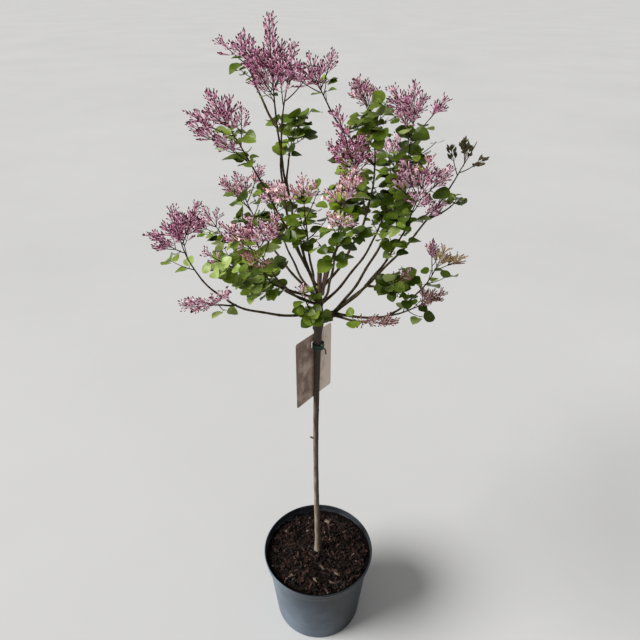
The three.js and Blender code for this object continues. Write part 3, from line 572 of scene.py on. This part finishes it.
# name, foot on, at, compass side, reach, rise, bow, side it bows to, where the mass begins,
# side shoots, their spread, flowering tips, panicle length, share of leaves, leaf and bloom tint
LIMBS = [
    ("spire", "trunk", 62, -158, 71, 503, 20, None, 0.74, 5, 20, 5, 68, 0.25, "mid", "rich"),
    ("top_mid", "trunk", 76, -123, 62, 462, 38, 190, 0.78, 5, 27, 5, 38, 0.12, "mid", "rich"),
    ("left_high", "trunk", 70, -168, 160, 408, -5, None, 0.64, 8, 44, 8, 50, 0.3, "fresh", "rich"),
    ("right_inner", "trunk", 68, 42, 98, 405, 52, 0, 0.7, 7, 52, 3, 36, 0.7, "fresh", "lilac"),
    ("right_crown", "knuckle", 0.8, 13, 151, 408, 44, None, 0.54, 9, 54, 5, 44, 0.75, "mid", "rich"),
    ("right_wide", "knuckle", 0.9, -26, 178, 326, 28, None, 0.48, 9, 38, 6, 44, 0.45, "mid", "lilac"),
    ("seed_bough", "knuckle", 1, 8, 258, 324, 24, None, 0.82, 4, 22, 5, 30, 0.0, "deep", "dry"),
    ("low_right", "knuckle", 0.95, -17, 214, 100, 24, None, 0.58, 4, 34, 3, 34, 0.3, "mid", "faded"),
    ("low_front", "knuckle", 0.85, -52, 146, 78, 6, None, 0.6, 3, 36, 3, 36, 0.1, "fresh", "faded"),
    ("far_left", "trunk", 24, -174, 236, 232, 80, None, 0.66, 5, 38, 5, 54, 0.45, "fresh", "deep"),
    ("left_mid", "trunk", 42, 154, 232, 186, 32, None, 0.54, 6, 52, 3, 38, 0.4, "mid", "lilac"),
    # The leafy left spray takes the bright tint as painted light, for the window's light that falls on it.
    ("leafy_left", "trunk", 54, -164, 190, 168, 6, None, 0.26, 9, 48, 1, 30, 0.75, "bright", "lilac"),
    ("mid_outer", "trunk", 56, 141, 190, 244, 28, None, 0.62, 5, 50, 4, 40, 0.35, "mid", "lilac"),
    ("mid_left", "trunk", 44, -127, 164, 256, 28, None, 0.5, 7, 50, 6, 40, 0.2, "mid", "lilac"),
    ("centre_low", "trunk", 58, -98, 150, 318, 20, None, 0.56, 6, 48, 2, 36, 0.4, "deep", "pale"),
    ("centre_front", "trunk", 34, -80, 182, 328, 34, None, 0.58, 5, 48, 3, 38, 0.6, "deep", "pale"),
    ("back_left", "trunk", 50, 116, 226, 196, 34, None, 0.55, 5, 60, 3, 40, 0.55, "mid", "lilac"),
    ("back_mid", "trunk", 58, 70, 216, 276, 34, None, 0.48, 7, 60, 3, 42, 0.75, "mid", "lilac"),
    ("back_right", "trunk", 38, 46, 206, 306, 40, 10, 0.48, 8, 60, 2, 36, 0.7, "mid", "lilac"),
    ("top_left", "spire", 0.68, 160, 118, 478, 9, None, 0.5, 3, 31, 2, 38, 0.6, "mid", "rich"),
    ("leaf_twig", "spire", 0.46, 112, 88, 352, 12, None, 0.45, 4, 56, 0, 16, 0.45, "mid", "rich"),
    ("top_arc", "right_inner", 0.66, 112, 36, 448, 14, 180, 0.62, 4, 26, 3, 40, 0.1, "mid", "rich"),
    ("right_front", "right_inner", 0.44, -78, 118, 398, 14, None, 0.5, 5, 24, 1, 84, 0.4, "mid", "deep"),
    ("low_left", "far_left", 0.42, -150, 212, 108, 6, None, 0.42, 4, 36, 4, 38, 0.12, "fresh", "lilac"),
    ("right_low", "seed_bough", 0.62, 22, 272, 208, 8, None, 0.66, 2, 16, 0, 14, 0.6, "fresh", "faded"),
    ("low_far", "low_right", 0.48, 6, 223, 142, 16, None, 0.5, 4, 40, 3, 34, 0.35, "mid", "withered"),
    ("right_leaves", "right_wide", 0.28, -32, 166, 150, 10, None, 0.4, 5, 42, 1, 28, 0.75, "mid", "faded"),
    ("fork_sprig", "trunk", 14, -118, 56, 104, 8, None, 0, 4, 34, 1, 24, 0.8, "fresh", "lilac"),
]
BOUGH = dict(foot=2.7, fork=1.9, tip=0.8, point_gap=10, bud_gap=26)


class Path:
    """A curve through three points, read by its share of the way along."""

    def __init__(self, foot, middle, tip):
        line = bezier(foot, middle, tip, np.linspace(0, 1, 201))
        run = np.concatenate([[0], np.cumsum(np.linalg.norm(np.diff(line, axis=0), axis=1))])
        self.line, self.length, self.run = line, run[-1], run / run[-1]

    def at(self, share):
        """The point at a share of the length."""
        return np.array([np.interp(share, self.run, self.line[:, axis]) for axis in range(3)])

    def heading(self, share):
        """The direction in which the curve runs there."""
        return unit(self.at(min(1.0, share + 0.004)) - self.at(max(0.0, share - 0.004)))

    def points(self, steps, start=0.0, end=1.0):
        """Evenly spaced points from one share to another."""
        return np.stack([self.at(share) for share in np.linspace(start, end, steps + 1)])


class Limb:
    """One bough and the mass it carries, laid out from its row of sizes."""

    def __init__(self, index, row):
        (self.name, self.source, at, side, reach, rise, bow, bow_side, self.enters, self.shoots,
         self.spread, self.blooms, self.panicle, self.leafiness, self.leaf_tint, self.bloom) = row
        self.index = index
        if self.source == "trunk":
            foot = UP * at
        elif self.source == "knuckle":
            foot = Path(*KNUCKLE).at(at)
        else:
            foot = limbs[self.source].path.at(at)
        tip = bearing(side) * reach + UP * rise
        outward = square_to(unit(tip - foot), bearing(side if bow_side is None else bow_side))
        self.path = Path(foot, (foot + tip) / 2 + outward * 2 * bow, tip)
        self.flower_foot = 1 - self.panicle / self.path.length
        self.foot_radius = BOUGH["fork"] if self.source in limbs else BOUGH["foot"]
        steps = math.ceil(self.path.length / BOUGH["point_gap"])
        self.bough_points = self.path.points(steps, 0, self.enters)
        self.stem_points = self.path.points(steps, self.enters, 1)

    def radius(self, share):
        """The wood's radius, which tapers evenly from foot to tip."""
        return self.foot_radius + (BOUGH["tip"] - self.foot_radius) * share


limbs = {}
for index, row in enumerate(LIMBS):
    limbs[row[0]] = Limb(index, row)


def wood_line(path, start, end, gap, draw, sway):
    """Points along a branch that kinks a little from each pair of buds to the next."""
    steps = max(2, round(path.length * (end - start) / gap))
    line = path.points(steps, start, end)
    heading = path.heading((start + end) / 2)
    across = square_to(heading, bearing(draw(0, 360)))
    run = np.arange(steps + 1) * gap / BOUGH["bud_gap"]
    calm = sway * np.sin(np.linspace(0, math.pi, steps + 1)) ** 0.5
    line += np.outer(calm * np.sin(run * 2.1 + draw(0, 6)), across)
    line += np.outer(calm * np.sin(run * 1.7 + draw(0, 6)), np.cross(heading, across))
    return line


BOUGH_SEEDS = 401
BUD_RING = dict(gap=31, width=2.6, swell=0.16)
COLLAR = dict(at=6, width=8, swell=0.25)
boughs = Heap()
for limb in limbs.values():
    if limb.enters == 0:
        continue
    draw = Draws(limb.index + BOUGH_SEEDS)
    line = wood_line(limb.path, 0, limb.enters, 4.0, draw, 0.9)
    shares = np.linspace(0, limb.enters, len(line))
    radii = np.array([limb.radius(share) for share in shares])
    run = shares * limb.path.length
    # Old bud rings along the wood, a collar where it forks off, and a slight unevenness.
    from_ring = (run + draw(0, 20)) % BUD_RING["gap"] - BUD_RING["gap"] // 2
    radii *= 1 + BUD_RING["swell"] * np.exp(-(from_ring / BUD_RING["width"]) ** 2)
    from_collar = (run - COLLAR["at"]) / COLLAR["width"]
    radii *= 1 + COLLAR["swell"] * np.exp(-from_collar ** 2) * (limb.source != "trunk")
    radii *= 1 + 0.04 * np.sin(run * 0.9 + draw(0, 6))
    boughs.add(*sweep(line, radii, 10))
bough_wood = boughs.made("boughs", finish(
    "bough_bark", [(0.3, (0.014, 0.009, 0.003)), (0.5, (0.040, 0.028, 0.011)),
                   (0.68, (0.108, 0.080, 0.036)), (0.85, (0.22, 0.175, 0.10))],
    grain=(1.0, 1.0, 0.35), scale=150.0, roughness=(0.55, 0.85), relief_scale=900.0, relief=0.5,
    gloss_level=0.16), lift=GRAFT)
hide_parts(*[f"bough_{limb.name}" for limb in limbs.values() if limb.enters > 0])
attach(bough_wood, "root")

# ---- Shoots and twigs ------------------------------------------------------------------------
# This season's growth on each bough: thin reddish-brown shoots that open from it and turn up,
# with short twiglets at their buds. A shoot bears leaves in crossed pairs and may end in bloom.

SHOOT = dict(first=0.12, last=0.96, unevenness=0.7, shortest=0.7, length_range=0.4,
             low_longer=0.15, high_shorter=0.25, opening=52, turn_range=40, bend=0.6, lift=0.5,
             clear_from=0.25, cut_back=0.7, panicle=0.8, margin=2.0)
LEAF = dict(length=37, margin=0.6, shoot_pair_gap=13.0, stem_pair_gap=17)
LATERAL = dict(panicle=0.82, fullness=0.68, tier_gap=12, under=30, per_tier=26, longest=30)
HEAD_ROOM = dict(radius=14, above=55)
GOLDEN_TURN = 137.5
TOWARDS_LIGHT = np.array([-0.85, -0.53, 0.0])
GROWTH_SEEDS = 501
all_boughs = np.concatenate([limb.bough_points for limb in limbs.values()])
all_stems = np.concatenate([limb.stem_points for limb in limbs.values()])
stem_owner = np.concatenate([np.full(len(limb.stem_points), limb.index) for limb in limbs.values()])
twigs = Heap()
bud_scales = Heap()
leaf_places = []
panicle_places = []


def has_room(point, limb, margin):
    """True where a point is nearer to its own mass's stem than to any other, and clear of wood."""
    to_boughs = np.linalg.norm(all_boughs - point, axis=1).min()
    to_stems = np.linalg.norm(all_stems - point, axis=1)
    own = to_stems[stem_owner == limb.index].min()
    others = to_stems[stem_owner != limb.index].min()
    if to_boughs < BOUGH["foot"] + margin or others < own + 2 * margin:
        return False
    beside_head = math.hypot(point[0], point[1]) > HEAD_ROOM["radius"] + margin
    return beside_head or point[2] > TRUNK["head"] + HEAD_ROOM["above"]


def grow_pair(path, share, turn, size, limb, draw):
    """Two leaves facing each other across a twig, each with a small bud over its stalk."""
    root, axis = path.at(share), path.heading(share)
    # A narrow mass bears smaller leaves.
    longest = LEAF["length"] * size * min(1.0, 0.4 + limb.spread / 60)
    for half in (0, 180):
        length = longest * draw(0.62, 1.06)
        direction = opened(axis, turn + half + draw(-14, 14), draw(50, 76))
        direction = unit(direction * (1.0, 1.0, 0.4) - UP * draw(-0.1, 0.22))
        facing = UP + TOWARDS_LIGHT * 0.55 + axis * 0.2 + bearing(draw(0, 360)) * 0.38
        face = square_to(direction, facing)
        reach = direction * length
        if all(has_room(root + reach * part, limb, LEAF["margin"]) for part in (0.6, 1.0)):
            leaf_places.append((root, direction, face, length, limb, draw()))
            tip = root + unit(axis + direction * 0.8) * 3.2
            bud_scales.add(*sweep([root, (root + tip) / 2, tip], [0.5, 0.9, 0.15], 4))


def grow_twiglet(path, share, turn, limb, draw):
    """A short side twig with one or two pairs of smaller leaves."""
    foot, axis = path.at(share), path.heading(share)
    start = opened(axis, turn, draw(42, 58))
    length = draw(13, 24)
    bend = foot + start * length * 0.5
    tip = bend + unit(start + UP * 0.6) * length * 0.5
    if not has_room(tip, limb, LEAF["margin"]):
        return
    twiglet = Path(foot, bend, tip)
    twigs.add(*sweep(twiglet.points(4), [0.7, 0.62, 0.58, 0.54, 0.4], 5))
    grow_pair(twiglet, 0.97, turn + draw(30, 60), 0.72, limb, draw)
    if length > 18:
        grow_pair(twiglet, 0.55, turn + draw(100, 130), 0.66, limb, draw)


def grow_lateral(path, share, turn, length, limb, tint, draw):
    """A side panicle on a short stalk, below the one at the shoot's tip."""
    foot, axis = path.at(share), path.heading(share)
    start = opened(axis, turn, draw(36, 50))
    bend = foot + start * length * 0.45
    tip = bend + unit(start + UP * 0.35 + axis * 0.3) * (length * 0.75)
    if not has_room(tip, limb, LEAF["margin"]):
        return
    lateral = Path(foot, bend, tip)
    panicle = length * LATERAL["panicle"]
    panicle_places.append(
        (lateral, 1 - panicle / lateral.length, panicle, limb, tint, LATERAL["fullness"]))
    twigs.add(*sweep(lateral.points(5), np.linspace(0.75, 0.4, 6), 5))


def dress_stem(limb, draw):
    """A mass's own stem: its wood, its leaf pairs, and the panicle or leaves at its tip."""
    path, enters, flower_foot = limb.path, limb.enters, limb.flower_foot
    line = wood_line(path, max(0.0, enters - 0.01), 1, 4.0, draw, 0.6)
    radii = [limb.radius(share) for share in np.linspace(enters, 1, len(line))]
    twigs.add(*sweep(line, radii * np.linspace(1, 0.62, len(line)), 7))
    if limb.bloom == "dry":
        twigs.add(*sweep(path.points(6, flower_foot, 1), np.linspace(0.8, 0.6, 7), 6))
    elif limb.blooms > 0:
        panicle_places.append((path, flower_foot, limb.panicle, limb, limb.bloom, 1.0))
    else:
        grow_pair(path, 0.99, 50, 0.8, limb, draw)
        grow_pair(path, 0.9, 140, 0.9, limb, draw)
    pairs = max(1, round(path.length * (flower_foot - enters) / LEAF["stem_pair_gap"]))
    for pair in range(pairs):
        up_stem = (pair + 0.5) / pairs
        share = enters + (flower_foot - enters) * up_stem
        leafy = limb.leafiness * (1.35 - 0.95 * up_stem)
        if draw() < leafy:
            grow_pair(path, share, 90 * pair + 30, 0.95, limb, draw)
        if draw() < leafy * 0.7:
            grow_twiglet(path, share, draw(0, 360), limb, draw)
    # Only a large panicle of this year has pairs of side panicles under it.
    if limb.bloom == "dry" or limb.panicle <= LATERAL["under"]:
        return
    for tier in range(round(limb.panicle / LATERAL["per_tier"])):
        share = flower_foot - tier * LATERAL["tier_gap"] / path.length
        for half in (0, 180):
            turn = 90 * tier + half + 20
            length = min(LATERAL["longest"], limb.panicle * 0.6)
            grow_lateral(path, share, turn, length, limb, limb.bloom, draw)


def grow_shoot(limb, number, turn_start, shoot_draw, draw):
    """A side shoot of a mass, which is cut back, or left out, where it has no room."""
    step = (number + SHOOT["unevenness"] * shoot_draw()) / limb.shoots
    fraction = SHOOT["first"] + (SHOOT["last"] - SHOOT["first"]) * step
    side = turn_start + GOLDEN_TURN * number + SHOOT["turn_range"] * shoot_draw()
    tall = 1 + SHOOT["low_longer"] - (SHOOT["low_longer"] + SHOOT["high_shorter"]) * fraction
    reach = limb.spread * tall * (SHOOT["shortest"] + SHOOT["length_range"] * shoot_draw())
    flowers = limb.shoots - number < limb.blooms
    panicle = limb.panicle * SHOOT["panicle"] if flowers else 0.0
    share = limb.enters + (limb.flower_foot - limb.enters) * fraction
    foot = limb.path.at(share)
    start = opened(limb.path.heading(share), side, SHOOT["opening"])
    end = unit(start + UP * SHOOT["lift"])
    for cut in (1.0, SHOOT["cut_back"]):
        bend = foot + start * reach * cut * SHOOT["bend"]
        tip = bend + end * (reach * cut * (1 - SHOOT["bend"]) + panicle)
        shoot = Path(foot, bend, tip)
        outer = shoot.points(5, SHOOT["clear_from"], 1)
        if all(has_room(point, limb, SHOOT["margin"]) for point in outer):
            break
    else:
        return
    bare = 1 - panicle / shoot.length
    line = wood_line(shoot, 0, 1, 3.5, draw, 0.35)
    twigs.add(*sweep(line, np.linspace(0.95, 0.45, len(line)), 6))
    pairs = max(1, round(shoot.length * bare / LEAF["shoot_pair_gap"]))
    for pair in range(pairs):
        share = bare * (pair + 0.7) / (pairs + 0.2)
        leafy = limb.leafiness * (1.15 - 0.6 * (pair + 0.5) / pairs) * (0.75 if flowers else 1.0)
        if draw() < leafy:
            grow_pair(shoot, share, side + 90 * pair, 0.92, limb, draw)
        if draw() < leafy * 0.5:
            grow_twiglet(shoot, share, draw(0, 360), limb, draw)
    if not flowers:
        grow_pair(shoot, 0.98, side + 90, 0.8, limb, draw)
        return
    # The lowest panicles of a mass are its oldest, and some of them have faded.
    old = limb.bloom == "lilac" and number < limb.shoots / 2 and draw() < 0.5
    young = limb.bloom == "withered" and limb.shoots - number == limb.blooms - 1
    tint = "faded" if old else ("lilac" if young else limb.bloom)
    panicle_places.append((shoot, bare, panicle, limb, tint, 1.0))
    if limb.bloom == "dry":
        return
    for tier in range(2 if limb.panicle > 50 else int(limb.spread >= 32)):
        below = (bare - 0.02) * (1 - 0.3 * tier)
        for half in (0, 180):
            turn = side + half + 90 * tier + 60
            grow_lateral(shoot, below, turn, min(26, panicle * 0.6), limb, tint, draw)


for limb in limbs.values():
    shoot_draw = Draws(limb.index + 1)
    draw = Draws(limb.index + GROWTH_SEEDS)
    dress_stem(limb, draw)
    turn_start = 360 * shoot_draw()
    for number in range(limb.shoots):
        grow_shoot(limb, number, turn_start, shoot_draw, draw)
twig_wood = twigs.made("twigs", finish(
    "twig_bark", [(0.3, (0.018, 0.010, 0.004)), (0.55, (0.050, 0.032, 0.012)),
                  (0.75, (0.11, 0.082, 0.036))],
    grain=(1.0, 1.0, 0.4), scale=170.0, roughness=(0.5, 0.75), relief_scale=900.0, relief=0.35,
    gloss_level=0.16), lift=GRAFT)
buds = bud_scales.made("winter_buds", finish(
    "bud_scales", [(0.35, (0.06, 0.07, 0.02)), (0.65, (0.13, 0.12, 0.045))],
    scale=300.0, roughness=(0.45, 0.65), relief_scale=900.0, relief=0.2), lift=GRAFT)
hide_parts(*[f"foliage_{limb.name}" for limb in limbs.values()])
for growth in (twig_wood, buds):
    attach(growth, "root")

# ---- Leaves ----------------------------------------------------------------------------------
# Small round leaves with a short point, soft and satin, on a stalk a fifth of their length. The
# blade is folded a little along its midrib and cupped, and its edge is gently waved.

STALK_SHARE = 0.21
BLOSSOM_MARGIN = 13.0
BLADE_STATIONS = [0.0, 0.04, 0.13, 0.27, 0.44, 0.62, 0.79, 0.92, 1.0]
BLADE_WIDTHS = [0.04, 0.26, 0.41, 0.495, 0.515, 0.47, 0.35, 0.17, 0.0]


def leaf_form(cup, curl, wave, twist):
    """One leaf of unit length along Y, its face to +Z: blade first, then its stalk."""
    vertices = []
    for station, half_width in zip(BLADE_STATIONS, BLADE_WIDTHS):
        y = STALK_SHARE + (1 - STALK_SHARE) * station
        sag = -curl * station**2 - 0.05
        for column in (-1, -0.55, 0, 0.55, 1):
            x = column * half_width * (1 - STALK_SHARE)
            z = cup * abs(column) ** 1.4 * half_width + sag
            z += wave * math.sin(9 * station + 2.5 * column) * abs(column) * half_width
            z += twist * column * half_width * station
            vertices.append((x, y, z))
    faces = []
    for i in range(len(BLADE_STATIONS) - 1):
        for j in range(4):
            a = 5 * i + j
            faces += [(a, a + 1, a + 6), (a, a + 6, a + 5)]
    stalk = sweep([(0, 0, 0), (0, STALK_SHARE * 0.55, 0.01), (0, STALK_SHARE + 0.02, -0.045)],
                  [0.022, 0.018, 0.016], 3)
    faces += (stalk[1] + len(vertices)).tolist()
    return np.concatenate([vertices, stalk[0]]), np.array(faces)


leaf_forms = [leaf_form(0.22, 0.06, 0.05, 0.0), leaf_form(0.34, 0.12, 0.07, 0.08),
              leaf_form(0.12, 0.02, 0.06, -0.08), leaf_form(0.28, 0.18, 0.04, 0.05)]
# The bright shade is painted light: its pale end stands in for the satin highlights on the leaves, and the
# leaves that draw it are lighter for it.
LEAF_SHADES = {
    "bright": [(0.3, (0.20, 0.295, 0.045)), (0.7, (0.39, 0.475, 0.175))],
    "fresh": [(0.3, (0.13, 0.205, 0.010)), (0.7, (0.24, 0.335, 0.048))],
    "mid": [(0.3, (0.060, 0.105, 0.003)), (0.7, (0.115, 0.175, 0.014))],
    "deep": [(0.3, (0.028, 0.054, 0.001)), (0.7, (0.055, 0.094, 0.004))],
}
# How a spray's own tint is shared out among its leaves, from the draw made for each leaf.
TINT_SHARES = {
    "bright": [(0.6, "bright"), (1.0, "fresh")],
    "fresh": [(0.24, "bright"), (0.72, "fresh"), (1.0, "mid")],
    "mid": [(0.07, "bright"), (0.32, "fresh"), (0.78, "mid"), (1.0, "deep")],
    "deep": [(0.15, "fresh"), (0.6, "mid"), (1.0, "deep")],
}
leaf_heaps = {tint: Heap() for tint in LEAF_SHADES}
leaf_owners = {tint: set() for tint in LEAF_SHADES}
spines = np.concatenate([path.points(4, start, 1) for path, start, *_ in panicle_places])
for number, (root, direction, face, length, limb, chance) in enumerate(leaf_places):
    # A leaf that would lie in the blossom has been shaded out.
    if np.linalg.norm(spines - root - direction * length * 0.7, axis=1).min() < BLOSSOM_MARGIN:
        continue
    form, form_faces = leaf_forms[number % len(leaf_forms)]
    across = np.cross(direction, face)
    basis = np.stack([across, direction, face]) * length
    tint = next(name for limit, name in TINT_SHARES[limb.leaf_tint] if chance <= limit)
    leaf_heaps[tint].add(form @ basis + root, form_faces)
    leaf_owners[tint].add(f"foliage_{limb.name}")
for tint, heap in leaf_heaps.items():
    material = finish(f"{tint}_leaf", LEAF_SHADES[tint], scale=70.0, roughness=(0.24, 0.36),
                      relief_scale=500.0, relief=0.15, gloss_level=0.24)
    leaves = heap.made(f"leaves_{tint}", material, lift=GRAFT)
    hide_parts(*sorted(leaf_owners[tint]))
    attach(leaves, "root")

# ---- Blossom ---------------------------------------------------------------------------------
# Slim panicles of crossed side branches, set with long narrow florets. Most are still closed,
# with a dark swollen tip on a lilac tube. The oldest have opened, faded or shrivelled.


def bar_form(stations, sides, bend):
    """A thin body of unit length along Y, from points of (distance, radius)."""
    line = [(0, y, bend * y * y) for y, _ in stations]
    return sweep(line, [radius for _, radius in stations], sides)


tube_form = bar_form([(0.0, 0.036), (0.4, 0.048), (0.82, 0.062)], 4, 0.05)
knob_form = bar_form([(0.70, 0.054), (0.83, 0.071), (0.95, 0.062), (1.0, 0.025)], 4, 0.05)
shrivel_form = bar_form([(0.0, 0.05), (0.4, 0.07), (0.75, 0.055), (0.95, 0.1), (1.0, 0.02)], 4, 0.3)
capsule_form = bar_form([(0.0, 0.05), (0.2, 0.06), (0.35, 0.15), (0.7, 0.17), (1.0, 0.04)], 6, 0.05)


def star_form():
    """The four spread lobes of an open floret, at the end of a unit tube."""
    lobe_middle, lobe_tip, half_width = 0.11, 0.22, 0.08
    vertices, faces = [(0, 0.9, 0)], []
    for angle in np.arange(4) * math.pi / 2:
        out = np.array([math.cos(angle), 0, math.sin(angle)])
        beside = np.array([-math.sin(angle), 0, math.cos(angle)]) * half_width
        base = len(vertices)
        vertices += [out * lobe_middle + beside + (0, 0.95, 0), out * lobe_tip + (0, 0.97, 0),
                     out * lobe_middle - beside + (0, 0.95, 0)]
        faces += [(0, base, base + 1), (0, base + 1, base + 2)]
    return np.array(vertices), np.array(faces)


open_form = star_form()
TUBE_SHADES = {
    "rich": [(0.32, (0.46, 0.105, 0.25)), (0.68, (0.95, 0.56, 0.74))],
    "lilac": [(0.3, (0.74, 0.42, 0.55)), (0.7, (0.97, 0.80, 0.87))],
    "pale": [(0.3, (0.76, 0.42, 0.45)), (0.7, (0.93, 0.72, 0.73))],
    "faded": [(0.3, (0.46, 0.23, 0.22)), (0.7, (0.74, 0.48, 0.43))],
    "withered": [(0.3, (0.50, 0.35, 0.13)), (0.7, (0.92, 0.76, 0.43))],
    "dry": [(0.3, (0.040, 0.032, 0.012)), (0.7, (0.12, 0.10, 0.038))],
}
KNOB_SHADES = {
    "rich": [(0.3, (0.046, 0.004, 0.015)), (0.7, (0.15, 0.022, 0.054))],
    "lilac": [(0.3, (0.07, 0.011, 0.024)), (0.7, (0.20, 0.046, 0.078))],
    "pale": [(0.3, (0.27, 0.085, 0.095)), (0.7, (0.46, 0.19, 0.19))],
    "faded": [(0.3, (0.12, 0.042, 0.034)), (0.7, (0.24, 0.10, 0.08))],
}
floret_heaps = {tint: Heap() for tint in TUBE_SHADES}
knob_heaps = {tint: Heap() for tint in KNOB_SHADES}
bloom_owners = {tint: set() for tint in TUBE_SHADES}
stalk_heap = Heap()
# How a panicle's own tint is shared out among its side branches.
BLOOM_SHARES = {
    "deep": [(1.0, "rich")],
    "rich": [(0.75, "rich"), (1.0, "lilac")],
    "lilac": [(0.32, "rich"), (0.88, "lilac"), (1.0, "pale")],
    "pale": [(0.35, "lilac"), (1.0, "pale")],
    "faded": [(0.85, "faded"), (1.0, "lilac")],
    "withered": [(0.8, "withered"), (1.0, "faded")],
    "dry": [(1.0, "dry")],
}
OPEN_SHARE = 0.12
CAPSULE_SIZE = 0.72
PANICLE_SEEDS = 701
PANICLE = dict(tier_gap=9.0, branch=8.0, top_branch=3.0, florets=4.6, fewer_at_top=1.4,
               smallest=14.5, largest=18.5, smaller_at_top=0.24, tip_floret=11.5, tip_drop=8)


def grow_floret(root, direction, length, tint, draw):
    """One floret on its root: tube and closed knob, open star, shrivelled tube or seed capsule."""
    face = square_to(direction, bearing(draw(0, 360)) + UP * 0.4)
    basis = np.stack([np.cross(direction, face), direction, face]) * length
    if tint == "dry":
        floret_heaps[tint].add(capsule_form[0] @ basis * CAPSULE_SIZE + root, capsule_form[1])
    elif tint == "withered":
        floret_heaps[tint].add(shrivel_form[0] @ basis + root, shrivel_form[1])
    else:
        floret_heaps[tint].add(tube_form[0] @ basis + root, tube_form[1])
        if tint == "pale" and draw() < OPEN_SHARE:
            floret_heaps[tint].add(open_form[0] @ basis + root, open_form[1])
        else:
            knob_heaps[tint].add(knob_form[0] @ basis + root, knob_form[1])


def grow_fan(root, direction, axis, reach, count, size, limb, tint, draw):
    """A side branch of a panicle: a thread of a stalk that ends in a loose fan of florets."""
    chance = draw()
    tint = next(name for limit, name in BLOOM_SHARES[tint] if chance <= limit)
    bloom_owners[tint].add(f"foliage_{limb.name}")
    end = root + direction * reach
    stalk_heap.add(*sweep([root, end], [0.45, 0.35], 3))
    heading = unit(direction + axis * 0.55)
    roll = draw(0, 360)
    grow_floret(end, unit(heading + direction * 0.1), size, tint, draw)
    for k in range(count - 1):
        away = opened(heading, roll + 360 * k / (count - 1) + draw(-22, 22), draw(14, 34))
        grow_floret(root + direction * reach * draw(0.6, 1.0), away, size * draw(0.78, 1), tint, draw)


def grow_panicle(number, path, start, length, limb, tint, fullness):
    """Crossed pairs of side branches up a stalk, shorter and poorer towards its tip."""
    draw = Draws(number + PANICLE_SEEDS)
    tiers = max(2, round(length / PANICLE["tier_gap"]))
    twist = draw(0, 90)
    for tier in range(tiers):
        up = (tier + draw(0.1, 0.4)) / tiers
        share = start + (1 - start) * up
        at, axis = path.at(share), path.heading(share)
        branch = PANICLE["branch"] * (1 - up) ** 0.7 + PANICLE["top_branch"]
        branch *= fullness * min(1.1, (length / 50) ** 0.5)
        count = (PANICLE["florets"] - PANICLE["fewer_at_top"] * up) * fullness * (length / 45) ** 0.4
        for half in (0, 180):
            side = twist + 90 * tier + half + draw(-22, 22)
            direction = opened(axis, side, draw(36, 52) - 8 * up)
            size = draw(PANICLE["smallest"], PANICLE["largest"]) * (1 - PANICLE["smaller_at_top"] * up)
            grow_fan(at, direction, axis, branch * draw(0.7, 1.15), max(3, round(count)), size,
                     limb, tint, draw)
    tip, axis = path.at(1.0), path.heading(0.99)
    stalk_heap.add(*sweep(path.points(2, start, 1), [0.7, 0.5, 0.35], 4))
    grow_fan(tip - axis * PANICLE["tip_drop"], axis, axis, 4.0, 4, PANICLE["tip_floret"],
             limb, tint, draw)


for number, place in enumerate(panicle_places):
    grow_panicle(number, *place)
for tint, heap in floret_heaps.items():
    material = finish(f"{tint}_floret", TUBE_SHADES[tint], scale=140.0, roughness=(0.5, 0.7),
                      relief_scale=900.0, relief=0.15, gloss_level=0.2)
    florets = heap.made(f"florets_{tint}", material, lift=GRAFT)
    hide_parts(*sorted(bloom_owners[tint]))
    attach(florets, "root")
for tint, heap in knob_heaps.items():
    material = finish(f"{tint}_bud", KNOB_SHADES[tint], scale=160.0, roughness=(0.45, 0.65),
                      relief_scale=900.0, relief=0.15, gloss_level=0.25)
    knobs = heap.made(f"buds_{tint}", material, lift=GRAFT)
    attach(knobs, "root")
stalks = stalk_heap.made("flower_stalks", finish(
    "flower_stalk", [(0.35, (0.085, 0.022, 0.034)), (0.65, (0.20, 0.075, 0.09))],
    scale=200.0, roughness=(0.5, 0.7), relief_scale=900.0, relief=0.2), lift=GRAFT)
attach(stalks, "root")
